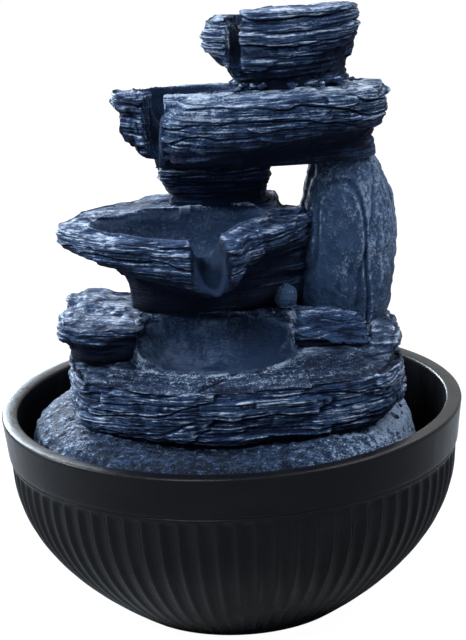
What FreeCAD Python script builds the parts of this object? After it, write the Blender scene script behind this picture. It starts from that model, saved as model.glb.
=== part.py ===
"""Tabletop rock-cascade fountain: a fluted bowl, a submersible pump on its floor, and a stack of cast
slate-look rocks that lifts out of the bowl. Millimetres, +Z up, origin under the centre of the bowl's foot,
the viewer's side at -Y."""

import FreeCAD
import Part

import math
import os

V = FreeCAD.Vector

# Bowl
BOWL_DIAMETER = 290.0
BOWL_HEIGHT = 133.0
RIM_WIDTH = 9.5
BAND_HEIGHT = 26.0
BAND_TAPER = 3.0
BAND_STEP = 1.4
BEAD_HEIGHT = 3.0
FOOT_DIAMETER = 140.0
FOOT_LIFT = 1.5
BOWL_WALL = 5.0
BOWL_FLOOR = 5.5
MERIDIAN_POWER = 2.2
FLUTE_COUNT = 76
FLUTE_DEPTH = 2.2
FLUTE_RIDGE_SHARE = 0.2
FLUTE_LEVELS = 7
RIM_ROUND = 1.2

# Bowl feet and lead grommet
FOOT_PAD_COUNT = 4
FOOT_PAD_DIAMETER = 14.0
FOOT_PAD_RECESS = 1.0
FOOT_PAD_INSET = 14.0
GROMMET_BORE = 6.0
GROMMET_WALL = 2.2
GROMMET_FLANGE = 1.4
GROMMET_FLANGE_THICKNESS = 1.2
GROMMET_DROP = 18.0

# Fits
FIT = 0.05
SLIP = 0.3
RUN = 0.05

# Riser tube, from the pump up into the crown rock
TUBE_X = 22.0
TUBE_Y = 12.0
TUBE_OUTER = 12.0
TUBE_BORE = 9.0
TUBE_ENGAGEMENT = 14.0
TUBE_PROUD = 4.0
COLLAR_WALL = 3.0
COLLAR_HEIGHT = 5.0

# Pump
PUMP_WIDTH = 36.0
PUMP_HEIGHT = 36.0
PUMP_MOTOR_LENGTH = 38.0
PUMP_WALL = 3.5
PUMP_ROUND = 4.0
SUCTION_HEIGHT = 4.0
SUCTION_DIAMETER = 11.0
SUCTION_STEM = 4.0
SUCTION_STEM_DEPTH = 2.0
SUCTION_INSET = 8.0
ROTOR_RADIUS = 7.6
ROTOR_LENGTH = 18.0
ROTOR_GAP = 0.9
WELL_WALL = 1.0
SHAFT_RADIUS = 1.5
BUSH_WALL = 1.5
BUSH_LENGTH = 3.0
VOLUTE_RADIUS = 15.5
VOLUTE_LENGTH = 12.0
VOLUTE_WALL = 2.7
VOLUTE_FRONT = 3.5
IMPELLER_GAP = 1.0
IMPELLER_BLADES = 6
IMPELLER_BLADE_THICKNESS = 1.4
IMPELLER_DISC = 1.5
IMPELLER_HUB_RADIUS = 3.5
INLET_COUNT = 6
INLET_RADIUS = 2.0
INLET_CIRCLE = 7.5
SPIGOT_HEIGHT = 20.0
SPIGOT_BORE = 6.4
SEAL_RADIUS = 0.8
COVER_WALL = 2.0
COVER_DEPTH = 24.0
INTAKE_SLOTS = 7
INTAKE_SLOT_WIDTH = 1.8
INTAKE_SLOT_PITCH = 3.6
INTAKE_SLOT_HEIGHT = 22.0
GATE_WIDTH = 14.0
GATE_HEIGHT = 14.0
GATE_THICKNESS = 1.6
GATE_TRAVEL = 8.0
GATE_RAIL = 1.6
STATOR_ARM = 3.7
STATOR_WIDTH = 11.0
STATOR_YOKE = 4.0
COIL_WALL = 1.5
REAR_CAP = 2.3
GLAND_RADIUS = 4.0
GLAND_BORE = 5.2
GLAND_LENGTH = 8.0

# Rock stack: the height of each casting, from the floor of the bowl up
MOUND_HEIGHT = 119.0
BASE_HEIGHT = 40.0
SHELF_HEIGHT = 10.0
POOL_BACK_HEIGHT = 22.0
MID_HEIGHT = 62.0
NECK_HEIGHT = 25.0
UPPER_HEIGHT = 51.0
CROWN_HEIGHT = 47.0
LEFT_LEDGE_HEIGHT = 27.0
RIGHT_LEDGE_HEIGHT = 15.0

# Island that carries the rocks
MOUND_WIDTH = 232.0
MOUND_DEPTH = 230.0
MOUND_X = -6.0
MOUND_Y = -3.0
MOUND_WALL = 8.0
MOUND_SHOULDER = 14.0
MOUND_FOOT_RADIUS = 62.0
ARCH_ROOM = 3.0
ARCH_HEIGHT = 64.0
MOUND_TOP_HOLE = 96.0

# Rock plans: width (X), depth (Y) and centre, at the widest level and at the foot
BASE_WIDTH = 205.0
BASE_DEPTH = 166.0
BASE_X = 5.0
BASE_Y = -4.0
BASE_FOOT_WIDTH = 176.0
BASE_FOOT_DEPTH = 146.0
BASE_ROOF = 12.0
BASE_CAVITY_SHARE = 0.72
SHELF_WIDTH = 203.0
SHELF_DEPTH = 160.0
SHELF_X = 2.0
SHELF_Y = -5.0
APRON_SLOPE = 20.0
POOL_BACK_WIDTH = 96.0
POOL_BACK_DEPTH = 100.0
POOL_BACK_X = -2.0
POOL_BACK_Y = 12.0
POOL_WIDTH = 96.0
POOL_DEPTH = 62.0
POOL_X = -6.0
POOL_Y = -33.0
POOL_FLOOR = 4.5
LEFT_LEDGE_WIDTH = 45.0
LEFT_LEDGE_DEPTH = 92.0
LEFT_LEDGE_Y = -6.0
LEFT_LEDGE_FALL = 9.0
RIGHT_LEDGE_WIDTH = 50.0
RIGHT_LEDGE_DEPTH = 28.0
LEDGE_GAP = 1.0
MID_WIDTH = 143.0
MID_DEPTH = 118.0
MID_X = -29.0
MID_Y = -21.0
MID_FOOT_WIDTH = 98.0
MID_FOOT_DEPTH = 80.0
MID_FOOT_X = -12.0
MID_FOOT_Y = -2.0
MID_BASIN_WIDTH = 102.0
MID_BASIN_DEPTH = 54.0
MID_BASIN_X = -29.0
MID_BASIN_Y = -34.0
MID_BASIN_SINK = 26.0
MID_LIP_WIDTH = 18.0
MID_LIP_SINK = 22.0
MID_LIP_FALL = 20.0
MID_RIM_FALL = 8.0
MID_RIM_TILT = 3.0
NECK_WIDTH = 82.0
NECK_DEPTH = 42.0
NECK_X = -3.0
NECK_Y = 15.0
NECK_FOOT_WIDTH = 72.0
UPPER_WIDTH = 168.0
UPPER_DEPTH = 92.0
UPPER_X = 20.5
UPPER_Y = -8.0
UPPER_FOOT_WIDTH = 136.0
UPPER_FOOT_DEPTH = 52.0
UPPER_FOOT_X = 29.0
UPPER_FOOT_Y = 10.0
TROUGH_WIDTH = 74.0
TROUGH_DEPTH = 30.0
TROUGH_X = -20.0
TROUGH_Y = -4.0
TROUGH_SINK = 24.0
UPPER_NOTCH_WIDTH = 15.0
UPPER_NOTCH_SINK = 40.0
CROWN_WIDTH = 93.0
CROWN_DEPTH = 62.0
CROWN_X = 42.5
CROWN_Y = 0.0
CROWN_FOOT_WIDTH = 63.0
CROWN_FOOT_DEPTH = 46.0
CROWN_FOOT_X = 45.0
CROWN_FOOT_Y = 4.0
CROWN_FALL = 4.0
SPRING_WIDTH = 30.0
SPRING_DEPTH = 30.0
SPRING_SINK = 17.0
CROWN_NOTCH_WIDTH = 9.0
CROWN_NOTCH_SINK = 30.0
BOULDER_WIDTH = 62.0
BOULDER_DEPTH = 58.0
BOULDER_Y = 17.0
BOULDER_GAP = 3.5
PEBBLE_DIAMETER = 16.0
PEBBLE_HEIGHT = 14.0

# Rock texture: broken ledges between the slate layers and chips along their edges
ROCK_SIDES = 26
LEDGE = 2.4
CHIP = 1.6
LAYER_BEVEL = 1.2

# Levels that the pieces share
floor_z = FOOT_LIFT + BOWL_FLOOR
band_z = BOWL_HEIGHT - BAND_HEIGHT
flute_z = band_z - BEAD_HEIGHT
mound_z = floor_z + MOUND_HEIGHT
base_z = mound_z + BASE_HEIGHT
shelf_z = base_z + SHELF_HEIGHT
pool_z = shelf_z + POOL_BACK_HEIGHT
mid_z = pool_z + MID_HEIGHT
neck_z = mid_z + NECK_HEIGHT
upper_z = neck_z + UPPER_HEIGHT
crown_z = upper_z + CROWN_HEIGHT
spring_z = crown_z - CROWN_FALL - SPRING_SINK
pump_z = floor_z + SUCTION_HEIGHT
axis_z = pump_z + PUMP_HEIGHT / 2
motor_front = TUBE_X - VOLUTE_LENGTH / 2
motor_rear = motor_front - PUMP_MOTOR_LENGTH
volute_front = motor_front + VOLUTE_LENGTH
chamber_radius = VOLUTE_RADIUS - VOLUTE_WALL
well_radius = ROTOR_RADIUS + ROTOR_GAP
bush_radius = SHAFT_RADIUS + BUSH_WALL
rotor_front = motor_front - 3.0
rotor_rear = rotor_front - ROTOR_LENGTH
well_rear = rotor_rear - 2.0
spigot_top = pump_z + PUMP_HEIGHT + SPIGOT_HEIGHT
cover_front = motor_front + COVER_DEPTH
arch_half = TUBE_Y + PUMP_WIDTH / 2 + ARCH_ROOM
ledge_room = LEDGE_GAP + LEDGE + CHIP
pool_back_left = POOL_BACK_X - POOL_BACK_WIDTH / 2
pool_back_right = POOL_BACK_X + POOL_BACK_WIDTH / 2
boulder_x = max(MID_X + MID_WIDTH / 2, pool_back_right) + BOULDER_GAP + BOULDER_WIDTH / 2


def write(node, shape):
    """Save one node and print what it measures."""
    shape = shape.removeSplitter() if len(shape.Faces) < 60 else shape
    shape.exportStep("parts/%s.step" % node)
    box = shape.BoundBox
    print("%-18s solids %d faces %4d volume %9.0f valid %s  x %.1f..%.1f y %.1f..%.1f z %.1f..%.1f" % (
        node, len(shape.Solids), len(shape.Faces), shape.Volume, shape.isValid(),
        box.XMin, box.XMax, box.YMin, box.YMax, box.ZMin, box.ZMax))


def cylinder(radius, length, at, along=V(0, 0, 1)):
    return Part.makeCylinder(radius, length, at, along)


def block(low, high):
    """Box between two opposite corners."""
    return Part.makeBox(high.x - low.x, high.y - low.y, high.z - low.z, low)


def ring(outer, inner, length, at, along=V(0, 0, 1)):
    return cylinder(outer, length, at, along).cut(cylinder(inner, length, at, along))


def revolve(points):
    """Solid of revolution about Z of a closed (radius, height) outline."""
    corners = [V(r, 0, z) for r, z in points]
    face = Part.Face(Part.makePolygon(corners + corners[:1]))
    return face.revolve(V(0, 0, 0), V(0, 0, 1), 360)


def grain(*key):
    """Repeatable number from -1 to 1 for a layer or a chip."""
    total = sum((index + 1) * 12.9898 * value for index, value in enumerate(key))
    return 2.0 * ((math.sin(total) * 43758.5453) % 1.0) - 1.0


def plan_loop(shape, width, depth, x, y, count):
    """Closed Catmull-Rom loop through unit plan points, as count points of the real size about (x, y)."""
    points = []
    for step in range(count):
        place = step * len(shape) / count
        first = int(place)
        t = place - first
        a, b, c, d = (shape[(first + k) % len(shape)] for k in (-1, 0, 1, 2))
        px, py = (0.5 * (2 * b[i] + (c[i] - a[i]) * t + (2 * a[i] - 5 * b[i] + 4 * c[i] - d[i]) * t ** 2
                         + (3 * b[i] - a[i] - 3 * c[i] + d[i]) * t ** 3) for i in (0, 1))
        points.append((x + px * width / 2, y + py * depth / 2))
    return points


def between(pairs, at):
    """Straight-line reading of a list of (place, value) pairs."""
    for (x0, y0), (x1, y1) in zip(pairs, pairs[1:]):
        if at <= x1:
            return y0 + (y1 - y0) * (at - x0) / (x1 - x0)
    return pairs[-1][1]


def middle(loop):
    return sum(x for x, y in loop) / len(loop), sum(y for x, y in loop) / len(loop)


def strata_rock(foot, wide, low, high, layers, blend, seed):
    """Slate rock: a ruled loft, layer by layer, of a plan that goes from the foot loop (blend 0) to the wide
    loop (blend 1) with the share of the height. Every layer steps in or out by up to LEDGE and its corners
    are chipped by up to CHIP; the flat bottom and top bear on the pieces below and above."""
    edges = [low]
    for layer in range(1, layers):
        edges.append(low + (high - low) * (layer + 0.25 * grain(seed, layer)) / layers)
    edges.append(high)
    sections = []
    for layer in range(layers):
        step = LEDGE * grain(seed + 3, layer)
        bottom = edges[layer] + (LAYER_BEVEL / 2 if layer else 0.0)
        top = edges[layer + 1] - (LAYER_BEVEL / 2 if layer < layers - 1 else 0.0)
        for z in (bottom, top):
            part = between(blend, (z - low) / (high - low))
            loop = [(a + (c - a) * part, b + (d - b) * part) for (a, b), (c, d) in zip(foot, wide)]
            x0, y0 = middle(loop)
            corners = []
            for index, (x, y) in enumerate(loop):
                out = (step + CHIP * grain(seed, layer + 1, index)) / math.hypot(x - x0, y - y0)
                corners.append(V(x + (x - x0) * out, y + (y - y0) * out, z))
            sections.append(Part.makePolygon(corners + corners[:1]))
    return Part.makeLoft(sections, True, True)


def smooth_loft(loop, stages):
    """Smooth loft of a rounded loop about its middle; stages gives (height, share of the plan)."""
    x0, y0 = middle(loop)
    wires = []
    for z, share in stages:
        curve = Part.BSplineCurve()
        curve.interpolate([V(x0 + (x - x0) * share, y0 + (y - y0) * share, z) for x, y in loop],
                          PeriodicFlag=True)
        wires.append(Part.Wire(curve.toShape()))
    return Part.makeLoft(wires, True, False)


def scoop(shape, width, depth, x, y, rim, sink, over):
    """Cutter for a water-worn hollow: steep at the rim and rounded at the floor."""
    loop = plan_loop(shape, width, depth, x, y, len(shape))
    return smooth_loft(loop, [(rim + over, 1.04), (rim, 1.0), (rim - 0.5 * sink, 0.88), (rim - 0.85 * sink, 0.66),
                              (rim - sink, 0.36)])


def pour_notch(width, length, start, rim, sink, over, heading, fall=0.0):
    """Cutter for a round-bottomed spout that leaves start in the heading, in degrees from +X, and falls by
    an angle as it goes out."""
    floor = rim - sink + width / 2
    headroom = length * math.sin(math.radians(fall))
    slot = block(V(0, -width / 2, floor), V(length, width / 2, rim + over + headroom))
    slot = slot.fuse(cylinder(width / 2, length, V(0, 0, floor), V(1, 0, 0)))
    slot.rotate(V(0, 0, floor), V(0, 1, 0), fall)
    slot.rotate(V(0, 0, 0), V(0, 0, 1), heading)
    slot.translate(V(start[0], start[1], 0))
    return slot


def tube_bore(low, high):
    """Cutter for the riser tube's passage through a rock."""
    return cylinder(TUBE_OUTER / 2 + SLIP, high - low, V(TUBE_X, TUBE_Y, low))


# Unit plans of the rocks, seen from above, the viewer at -Y
HOLLOW_PLAN = [(-1.0, 0.05), (-0.72, -0.72), (-0.1, -1.0), (0.55, -0.86), (1.0, -0.1), (0.72, 0.74),
               (0.05, 1.0), (-0.7, 0.8)]
BASIN_PLAN = [(-1.0, 0.2), (-0.56, -0.42), (-0.1, -0.78), (0.3, -1.0), (0.62, -0.55), (0.72, 0.15), (1.0, 0.8),
              (0.6, 1.0), (0.02, 0.98), (-0.56, 0.76)]
SLAB_PLAN = [(-1.0, -0.1), (-0.96, -0.55), (-0.8, -0.9), (-0.35, -1.0), (0.1, -0.97), (0.55, -0.95),
             (0.88, -0.78), (1.0, -0.3), (0.96, 0.28), (0.82, 0.76), (0.35, 0.97), (-0.2, 1.0),
             (-0.7, 0.86), (-0.97, 0.4)]
BLOCK_PLAN = [(-1.0, 0.0), (-0.9, -0.8), (-0.2, -1.0), (0.55, -0.94), (0.96, -0.62), (1.0, 0.2), (0.8, 0.85),
              (0.1, 1.0), (-0.75, 0.9)]
SHELL_PLAN = [(-1.0, -0.12), (-0.72, -0.56), (-0.3, -0.8), (0.16, -0.9), (0.36, -1.0), (0.55, -0.84),
              (0.82, -0.4), (1.0, 0.22), (0.86, 0.72), (0.4, 0.98), (-0.2, 0.9), (-0.66, 0.5)]
UPPER_PLAN = [(-1.0, -0.1), (-0.9, -0.52), (-0.72, -0.62), (-0.6, -0.96), (-0.1, -1.0), (0.45, -0.86),
              (0.9, -0.5), (1.0, 0.05), (0.82, 0.62), (0.3, 0.98), (-0.35, 1.0), (-0.86, 0.62)]
FOOT_PLAN = [(-1.0, 0.0), (-0.9, -0.8), (-0.2, -1.0), (0.4, -0.85), (0.72, -0.45), (1.0, 0.2), (0.85, 0.85),
             (0.1, 1.0), (-0.75, 0.9)]
ROUND_PLAN = [(-math.cos(math.radians(a)), -math.sin(math.radians(a))) for a in range(0, 360, 30)]
ISLAND_PLAN = [(-math.cos(math.radians(a)) * (1 + 0.015 * grain(a)), -math.sin(math.radians(a)) * (1 + 0.015 * grain(a, 1)))
               for a in range(0, 360, 20)]


def meridian(z):
    """Radius of the flute ridges at a height: a bowl that flares fast from its foot and stands up at its band."""
    top = BOWL_DIAMETER / 2 - BAND_TAPER - BAND_STEP
    foot = FOOT_DIAMETER / 2
    share = (z - FOOT_LIFT) / (flute_z - FOOT_LIFT)
    return top - (top - foot) * (1 - share) ** MERIDIAN_POWER


def inner_meridian(z):
    """Radius of the bowl's inside, the same flare over a thinner foot."""
    top = BOWL_DIAMETER / 2 - RIM_WIDTH - BOWL_WALL / 4
    foot = FOOT_DIAMETER / 2 - BOWL_WALL
    share = (z - floor_z) / (flute_z - floor_z)
    return top - (top - foot) * (1 - share) ** MERIDIAN_POWER


def fluted_section(z):
    """Closed outline at one height: narrow ridges with a hollow flute between each pair."""
    ridge = meridian(z)
    hollow = ridge - FLUTE_DEPTH * ridge / meridian(flute_z)
    pitch = 2 * math.pi / FLUTE_COUNT
    half_ridge = pitch * FLUTE_RIDGE_SHARE / 2

    def at(radius, angle):
        return V(radius * math.cos(angle), radius * math.sin(angle), z)

    edges = []
    for index in range(FLUTE_COUNT):
        angle = index * pitch
        start, end = angle + half_ridge, angle + pitch - half_ridge
        edges.append(Part.LineSegment(at(ridge, angle - half_ridge), at(ridge, start)).toShape())
        edges.append(Part.Arc(at(ridge, start), at(hollow, angle + pitch / 2), at(ridge, end)).toShape())
    return Part.Wire(edges)


def make_bowl():
    """Fluted bowl under a smooth rim band, with a bead between them, and the grommet's hole at the back."""
    heights = [FOOT_LIFT + (flute_z - FOOT_LIFT) * (k / (FLUTE_LEVELS - 1)) ** 1.5 for k in range(FLUTE_LEVELS)]
    fluted = Part.makeLoft([fluted_section(z) for z in heights], True, True)
    rim = BOWL_DIAMETER / 2
    bead = meridian(flute_z)
    band = revolve([(0, flute_z), (bead, flute_z), (bead + BAND_STEP / 2, flute_z + BEAD_HEIGHT / 3),
                    (bead + BAND_STEP / 2, flute_z + BEAD_HEIGHT * 2 / 3), (bead, band_z),
                    (rim - BAND_TAPER, band_z), (rim, BOWL_HEIGHT - RIM_ROUND),
                    (rim - RIM_ROUND, BOWL_HEIGHT), (0, BOWL_HEIGHT)])
    inside = BOWL_DIAMETER / 2 - RIM_WIDTH
    curve = Part.BSplineCurve()
    steps = 7
    curve.interpolate([V(inner_meridian(z), 0, z) for z in
                       (floor_z + (flute_z - floor_z) * k / steps for k in range(steps + 1))])
    corners = [V(inner_meridian(flute_z), 0, flute_z), V(inside - RIM_ROUND, 0, BOWL_HEIGHT - 2 * RIM_ROUND),
               V(inside, 0, BOWL_HEIGHT), V(inside, 0, BOWL_HEIGHT + 1), V(0, 0, BOWL_HEIGHT + 1), V(0, 0, floor_z),
               V(inner_meridian(floor_z), 0, floor_z)]
    outline = Part.Wire([curve.toShape(), Part.makePolygon(corners)])
    hollow = Part.Face(outline).revolve(V(0, 0, 0), V(0, 0, 1), 360)
    bowl = fluted.fuse(band).cut(hollow)
    for pad in foot_pad_places():
        bowl = bowl.cut(cylinder(FOOT_PAD_DIAMETER / 2 + FIT, FOOT_PAD_RECESS, V(pad.x, pad.y, FOOT_LIFT)))
    sleeve = GROMMET_BORE / 2 + GROMMET_WALL + FIT
    return bowl.cut(cylinder(sleeve, BOWL_DIAMETER / 4, V(0, BOWL_DIAMETER / 2 - BOWL_DIAMETER / 8, grommet_z()),
                             V(0, 1, 0)))


def foot_pad_places():
    radius = FOOT_DIAMETER / 2 - FOOT_PAD_INSET
    angles = [math.radians(45 + 360 / FOOT_PAD_COUNT * k) for k in range(FOOT_PAD_COUNT)]
    return [V(radius * math.cos(a), radius * math.sin(a), 0) for a in angles]


def make_bowl_feet():
    """Round rubber pads let into the flat foot."""
    return Part.makeCompound([cylinder(FOOT_PAD_DIAMETER / 2, FOOT_LIFT + FOOT_PAD_RECESS, place)
                              for place in foot_pad_places()])


def grommet_z():
    return BOWL_HEIGHT - GROMMET_DROP


def make_cord_grommet():
    """Rubber grommet for the pump's lead, pushed through the band at the back."""
    height = grommet_z()
    sleeve = GROMMET_BORE / 2 + GROMMET_WALL
    flange = sleeve + GROMMET_FLANGE
    share = (height + flange - band_z) / (BOWL_HEIGHT - RIM_ROUND - band_z)
    outer_face = BOWL_DIAMETER / 2 - BAND_TAPER * (1 - share) + FIT
    inner_face = BOWL_DIAMETER / 2 - RIM_WIDTH - BOWL_WALL / 4 - flange ** 2 / BOWL_DIAMETER * 1.1
    start = inner_face - GROMMET_FLANGE_THICKNESS
    end = outer_face + GROMMET_FLANGE_THICKNESS
    back = V(0, 1, 0)
    body = cylinder(sleeve, end - start, V(0, start, height), back)
    for face in (start, outer_face):
        body = body.fuse(cylinder(flange, GROMMET_FLANGE_THICKNESS, V(0, face, height), back))
    return body.cut(cylinder(GROMMET_BORE / 2, end - start, V(0, start, height), back))


def motor_axis(x):
    """Point on the pump's rotor axis."""
    return V(x, TUBE_Y, axis_z)


def suction_places():
    xs = (motor_rear + SUCTION_INSET, motor_front - SUCTION_INSET)
    ys = (TUBE_Y - PUMP_WIDTH / 2 + SUCTION_INSET, TUBE_Y + PUMP_WIDTH / 2 - SUCTION_INSET)
    return [V(x, y, floor_z) for x in xs for y in ys]


def make_suction_feet():
    """Four rubber suction cups that hold the pump to the bowl's floor."""
    half = SUCTION_DIAMETER / 2
    stem = SUCTION_STEM / 2
    cup = revolve([(0, SUCTION_HEIGHT / 4), (half * 0.75, SUCTION_HEIGHT / 4), (half, 0),
                   (half, SUCTION_HEIGHT / 5), (stem + 0.5, SUCTION_HEIGHT * 0.6), (stem + 0.5, SUCTION_HEIGHT),
                   (stem, SUCTION_HEIGHT), (stem, SUCTION_HEIGHT + SUCTION_STEM_DEPTH - FIT),
                   (0, SUCTION_HEIGHT + SUCTION_STEM_DEPTH - FIT)])
    return Part.makeCompound([cup.translated(place) for place in suction_places()])


def make_pump_housing():
    """Motor housing: a rounded box with the stator pocket open at its rear and the rotor well at its front."""
    half = PUMP_WIDTH / 2
    body = block(V(motor_rear, TUBE_Y - half, pump_z), V(motor_front, TUBE_Y + half, pump_z + PUMP_HEIGHT))
    along_x = [e for e in body.Edges if abs(e.tangentAt(e.FirstParameter).x) > 0.9]
    body = body.makeFillet(PUMP_ROUND, along_x)
    pocket_half = half - PUMP_WALL
    pocket = block(V(motor_rear, TUBE_Y - pocket_half, pump_z + PUMP_WALL),
                   V(motor_front - PUMP_WALL, TUBE_Y + pocket_half, pump_z + PUMP_HEIGHT - PUMP_WALL))
    well_end = well_rear - BUSH_LENGTH - FIT - WELL_WALL
    tube = cylinder(well_radius + WELL_WALL, motor_front - well_end, motor_axis(well_end), V(1, 0, 0))
    body = body.cut(pocket.cut(tube))
    body = body.cut(cylinder(well_radius, motor_front - well_rear, motor_axis(well_rear), V(1, 0, 0)))
    bush = BUSH_LENGTH + FIT
    body = body.cut(cylinder(bush_radius + FIT, bush, motor_axis(well_rear - bush), V(1, 0, 0)))
    middle = chamber_radius + VOLUTE_WALL / 2
    groove = ring(middle + SEAL_RADIUS + FIT, middle - SEAL_RADIUS - FIT, 2 * SEAL_RADIUS,
                  motor_axis(motor_front - 2 * SEAL_RADIUS), V(1, 0, 0))
    body = body.cut(groove)
    for place in suction_places():
        body = body.cut(cylinder(SUCTION_STEM / 2 + FIT, SUCTION_STEM_DEPTH, V(place.x, place.y, pump_z)))
    return body


def make_volute_seal():
    """Rubber ring between the volute and the motor housing."""
    middle = chamber_radius + VOLUTE_WALL / 2
    return Part.makeTorus(middle, SEAL_RADIUS - FIT, motor_axis(motor_front - SEAL_RADIUS), V(1, 0, 0))


def make_rear_cap():
    """Plate that closes the stator pocket, with the hole for the lead's gland."""
    half_y = PUMP_WIDTH / 2 - PUMP_WALL - FIT
    cap = block(V(motor_rear, TUBE_Y - half_y, pump_z + PUMP_WALL + FIT),
                V(motor_rear + REAR_CAP, TUBE_Y + half_y, pump_z + PUMP_HEIGHT - PUMP_WALL - FIT))
    return cap.cut(cylinder(GLAND_RADIUS - 1 + FIT, REAR_CAP, gland_place(motor_rear), V(1, 0, 0)))


def gland_place(x):
    return V(x, TUBE_Y, pump_z + PUMP_HEIGHT - PUMP_WALL - GLAND_RADIUS - 2)


def make_cord_gland():
    """Gland where the lead enters the pump: a stepped sleeve, empty."""
    out = V(-1, 0, 0)
    body = cylinder(GLAND_RADIUS, GLAND_LENGTH, gland_place(motor_rear), out)
    body = body.fuse(cylinder(GLAND_RADIUS - 1, REAR_CAP, gland_place(motor_rear + REAR_CAP), out))
    return body.cut(cylinder(GLAND_BORE / 2, GLAND_LENGTH + REAR_CAP, gland_place(motor_rear + REAR_CAP), out))


def stator_levels():
    """Lower and upper arm of the stator core, as (low, high) heights just outside the rotor well."""
    clear = well_radius + WELL_WALL + SLIP
    return ((axis_z - clear - STATOR_ARM, axis_z - clear), (axis_z + clear, axis_z + clear + STATOR_ARM))


def stator_yoke():
    """Front and rear of the yoke behind the rotor well."""
    well_end = well_rear - BUSH_LENGTH - FIT - WELL_WALL
    front = well_end - SLIP - COIL_WALL - FIT
    return front - STATOR_YOKE, front


def make_stator_core():
    """Laminated U core: two pole arms past the rotor well and the yoke that joins them."""
    rear, front = stator_yoke()
    half = STATOR_WIDTH / 2
    (low0, low1), (high0, high1) = stator_levels()
    core = block(V(rear, TUBE_Y - half, low0), V(front, TUBE_Y + half, high1))
    for low, high in ((low0, low1), (high0, high1)):
        core = core.fuse(block(V(rear, TUBE_Y - half, low), V(motor_front - PUMP_WALL - SLIP, TUBE_Y + half, high)))
    return core


def make_stator_coil():
    """Winding on its bobbin round the yoke."""
    rear, front = stator_yoke()
    half = STATOR_WIDTH / 2
    (low0, low1), (high0, high1) = stator_levels()
    grow = COIL_WALL + FIT
    coil = block(V(rear - grow, TUBE_Y - half - grow, low1 + SLIP), V(front + grow, TUBE_Y + half + grow, high0 - SLIP))
    return coil.cut(block(V(rear - FIT, TUBE_Y - half - FIT, low1), V(front + FIT, TUBE_Y + half + FIT, high0)))


def make_pump_shaft():
    """Fixed ceramic shaft between the two bushes."""
    rear = well_rear - BUSH_LENGTH
    front = volute_front - VOLUTE_FRONT + BUSH_LENGTH - FIT
    return cylinder(SHAFT_RADIUS, front - rear, motor_axis(rear), V(1, 0, 0))


def make_shaft_bushes():
    """Rubber bushes that carry the shaft, one in the well and one in the volute."""
    rear = ring(bush_radius, SHAFT_RADIUS + FIT / 2, BUSH_LENGTH, motor_axis(well_rear - BUSH_LENGTH), V(1, 0, 0))
    front = ring(bush_radius, SHAFT_RADIUS + FIT / 2, BUSH_LENGTH - FIT,
                 motor_axis(volute_front - VOLUTE_FRONT), V(1, 0, 0))
    return Part.makeCompound([rear, front])


def make_rotor_magnet():
    """Ring magnet that the stator turns."""
    return ring(ROTOR_RADIUS, IMPELLER_HUB_RADIUS, ROTOR_LENGTH, motor_axis(rotor_rear), V(1, 0, 0))


def make_impeller():
    """Impeller: a sleeve through the magnet, a back disc and straight radial blades."""
    ahead = V(1, 0, 0)
    disc = motor_front + 0.5
    tip = chamber_radius - IMPELLER_GAP
    blade_end = volute_front - VOLUTE_FRONT - IMPELLER_GAP
    body = cylinder(IMPELLER_HUB_RADIUS - FIT / 2, blade_end - rotor_rear, motor_axis(rotor_rear), ahead)
    body = body.fuse(cylinder(IMPELLER_HUB_RADIUS + 1.5, disc - rotor_front, motor_axis(rotor_front), ahead))
    body = body.fuse(cylinder(tip, IMPELLER_DISC, motor_axis(disc), ahead))
    for index in range(IMPELLER_BLADES):
        blade = block(V(disc, TUBE_Y - IMPELLER_BLADE_THICKNESS / 2, axis_z),
                      V(blade_end, TUBE_Y + IMPELLER_BLADE_THICKNESS / 2, axis_z + tip - 0.2))
        blade.rotate(motor_axis(disc), ahead, 360 / IMPELLER_BLADES * index)
        body = body.fuse(blade)
    return body.cut(cylinder(SHAFT_RADIUS + RUN, blade_end - rotor_rear, motor_axis(rotor_rear), ahead))


def make_pump_volute():
    """Impeller chamber with a ring of inlet holes, the front bush's seat and the hose spigot on top."""
    ahead = V(1, 0, 0)
    body = cylinder(VOLUTE_RADIUS, VOLUTE_LENGTH, motor_axis(motor_front), ahead)
    spigot_radius = TUBE_BORE / 2 - SLIP
    root = V(TUBE_X, TUBE_Y, axis_z)
    body = body.fuse(cylinder(spigot_radius, spigot_top - axis_z, root))
    body = body.cut(cylinder(chamber_radius, VOLUTE_LENGTH - VOLUTE_FRONT, motor_axis(motor_front), ahead))
    body = body.cut(cylinder(bush_radius + FIT, BUSH_LENGTH, motor_axis(volute_front - VOLUTE_FRONT), ahead))
    outlet = chamber_radius * 0.8
    body = body.cut(cylinder(SPIGOT_BORE / 2, spigot_top - axis_z - outlet, V(TUBE_X, TUBE_Y, axis_z + outlet)))
    for index in range(INLET_COUNT):
        angle = 2 * math.pi * index / INLET_COUNT
        place = motor_axis(volute_front - VOLUTE_FRONT)
        place += V(0, INLET_CIRCLE * math.cos(angle), INLET_CIRCLE * math.sin(angle))
        body = body.cut(cylinder(INLET_RADIUS, VOLUTE_FRONT, place, ahead))
    return body


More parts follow.
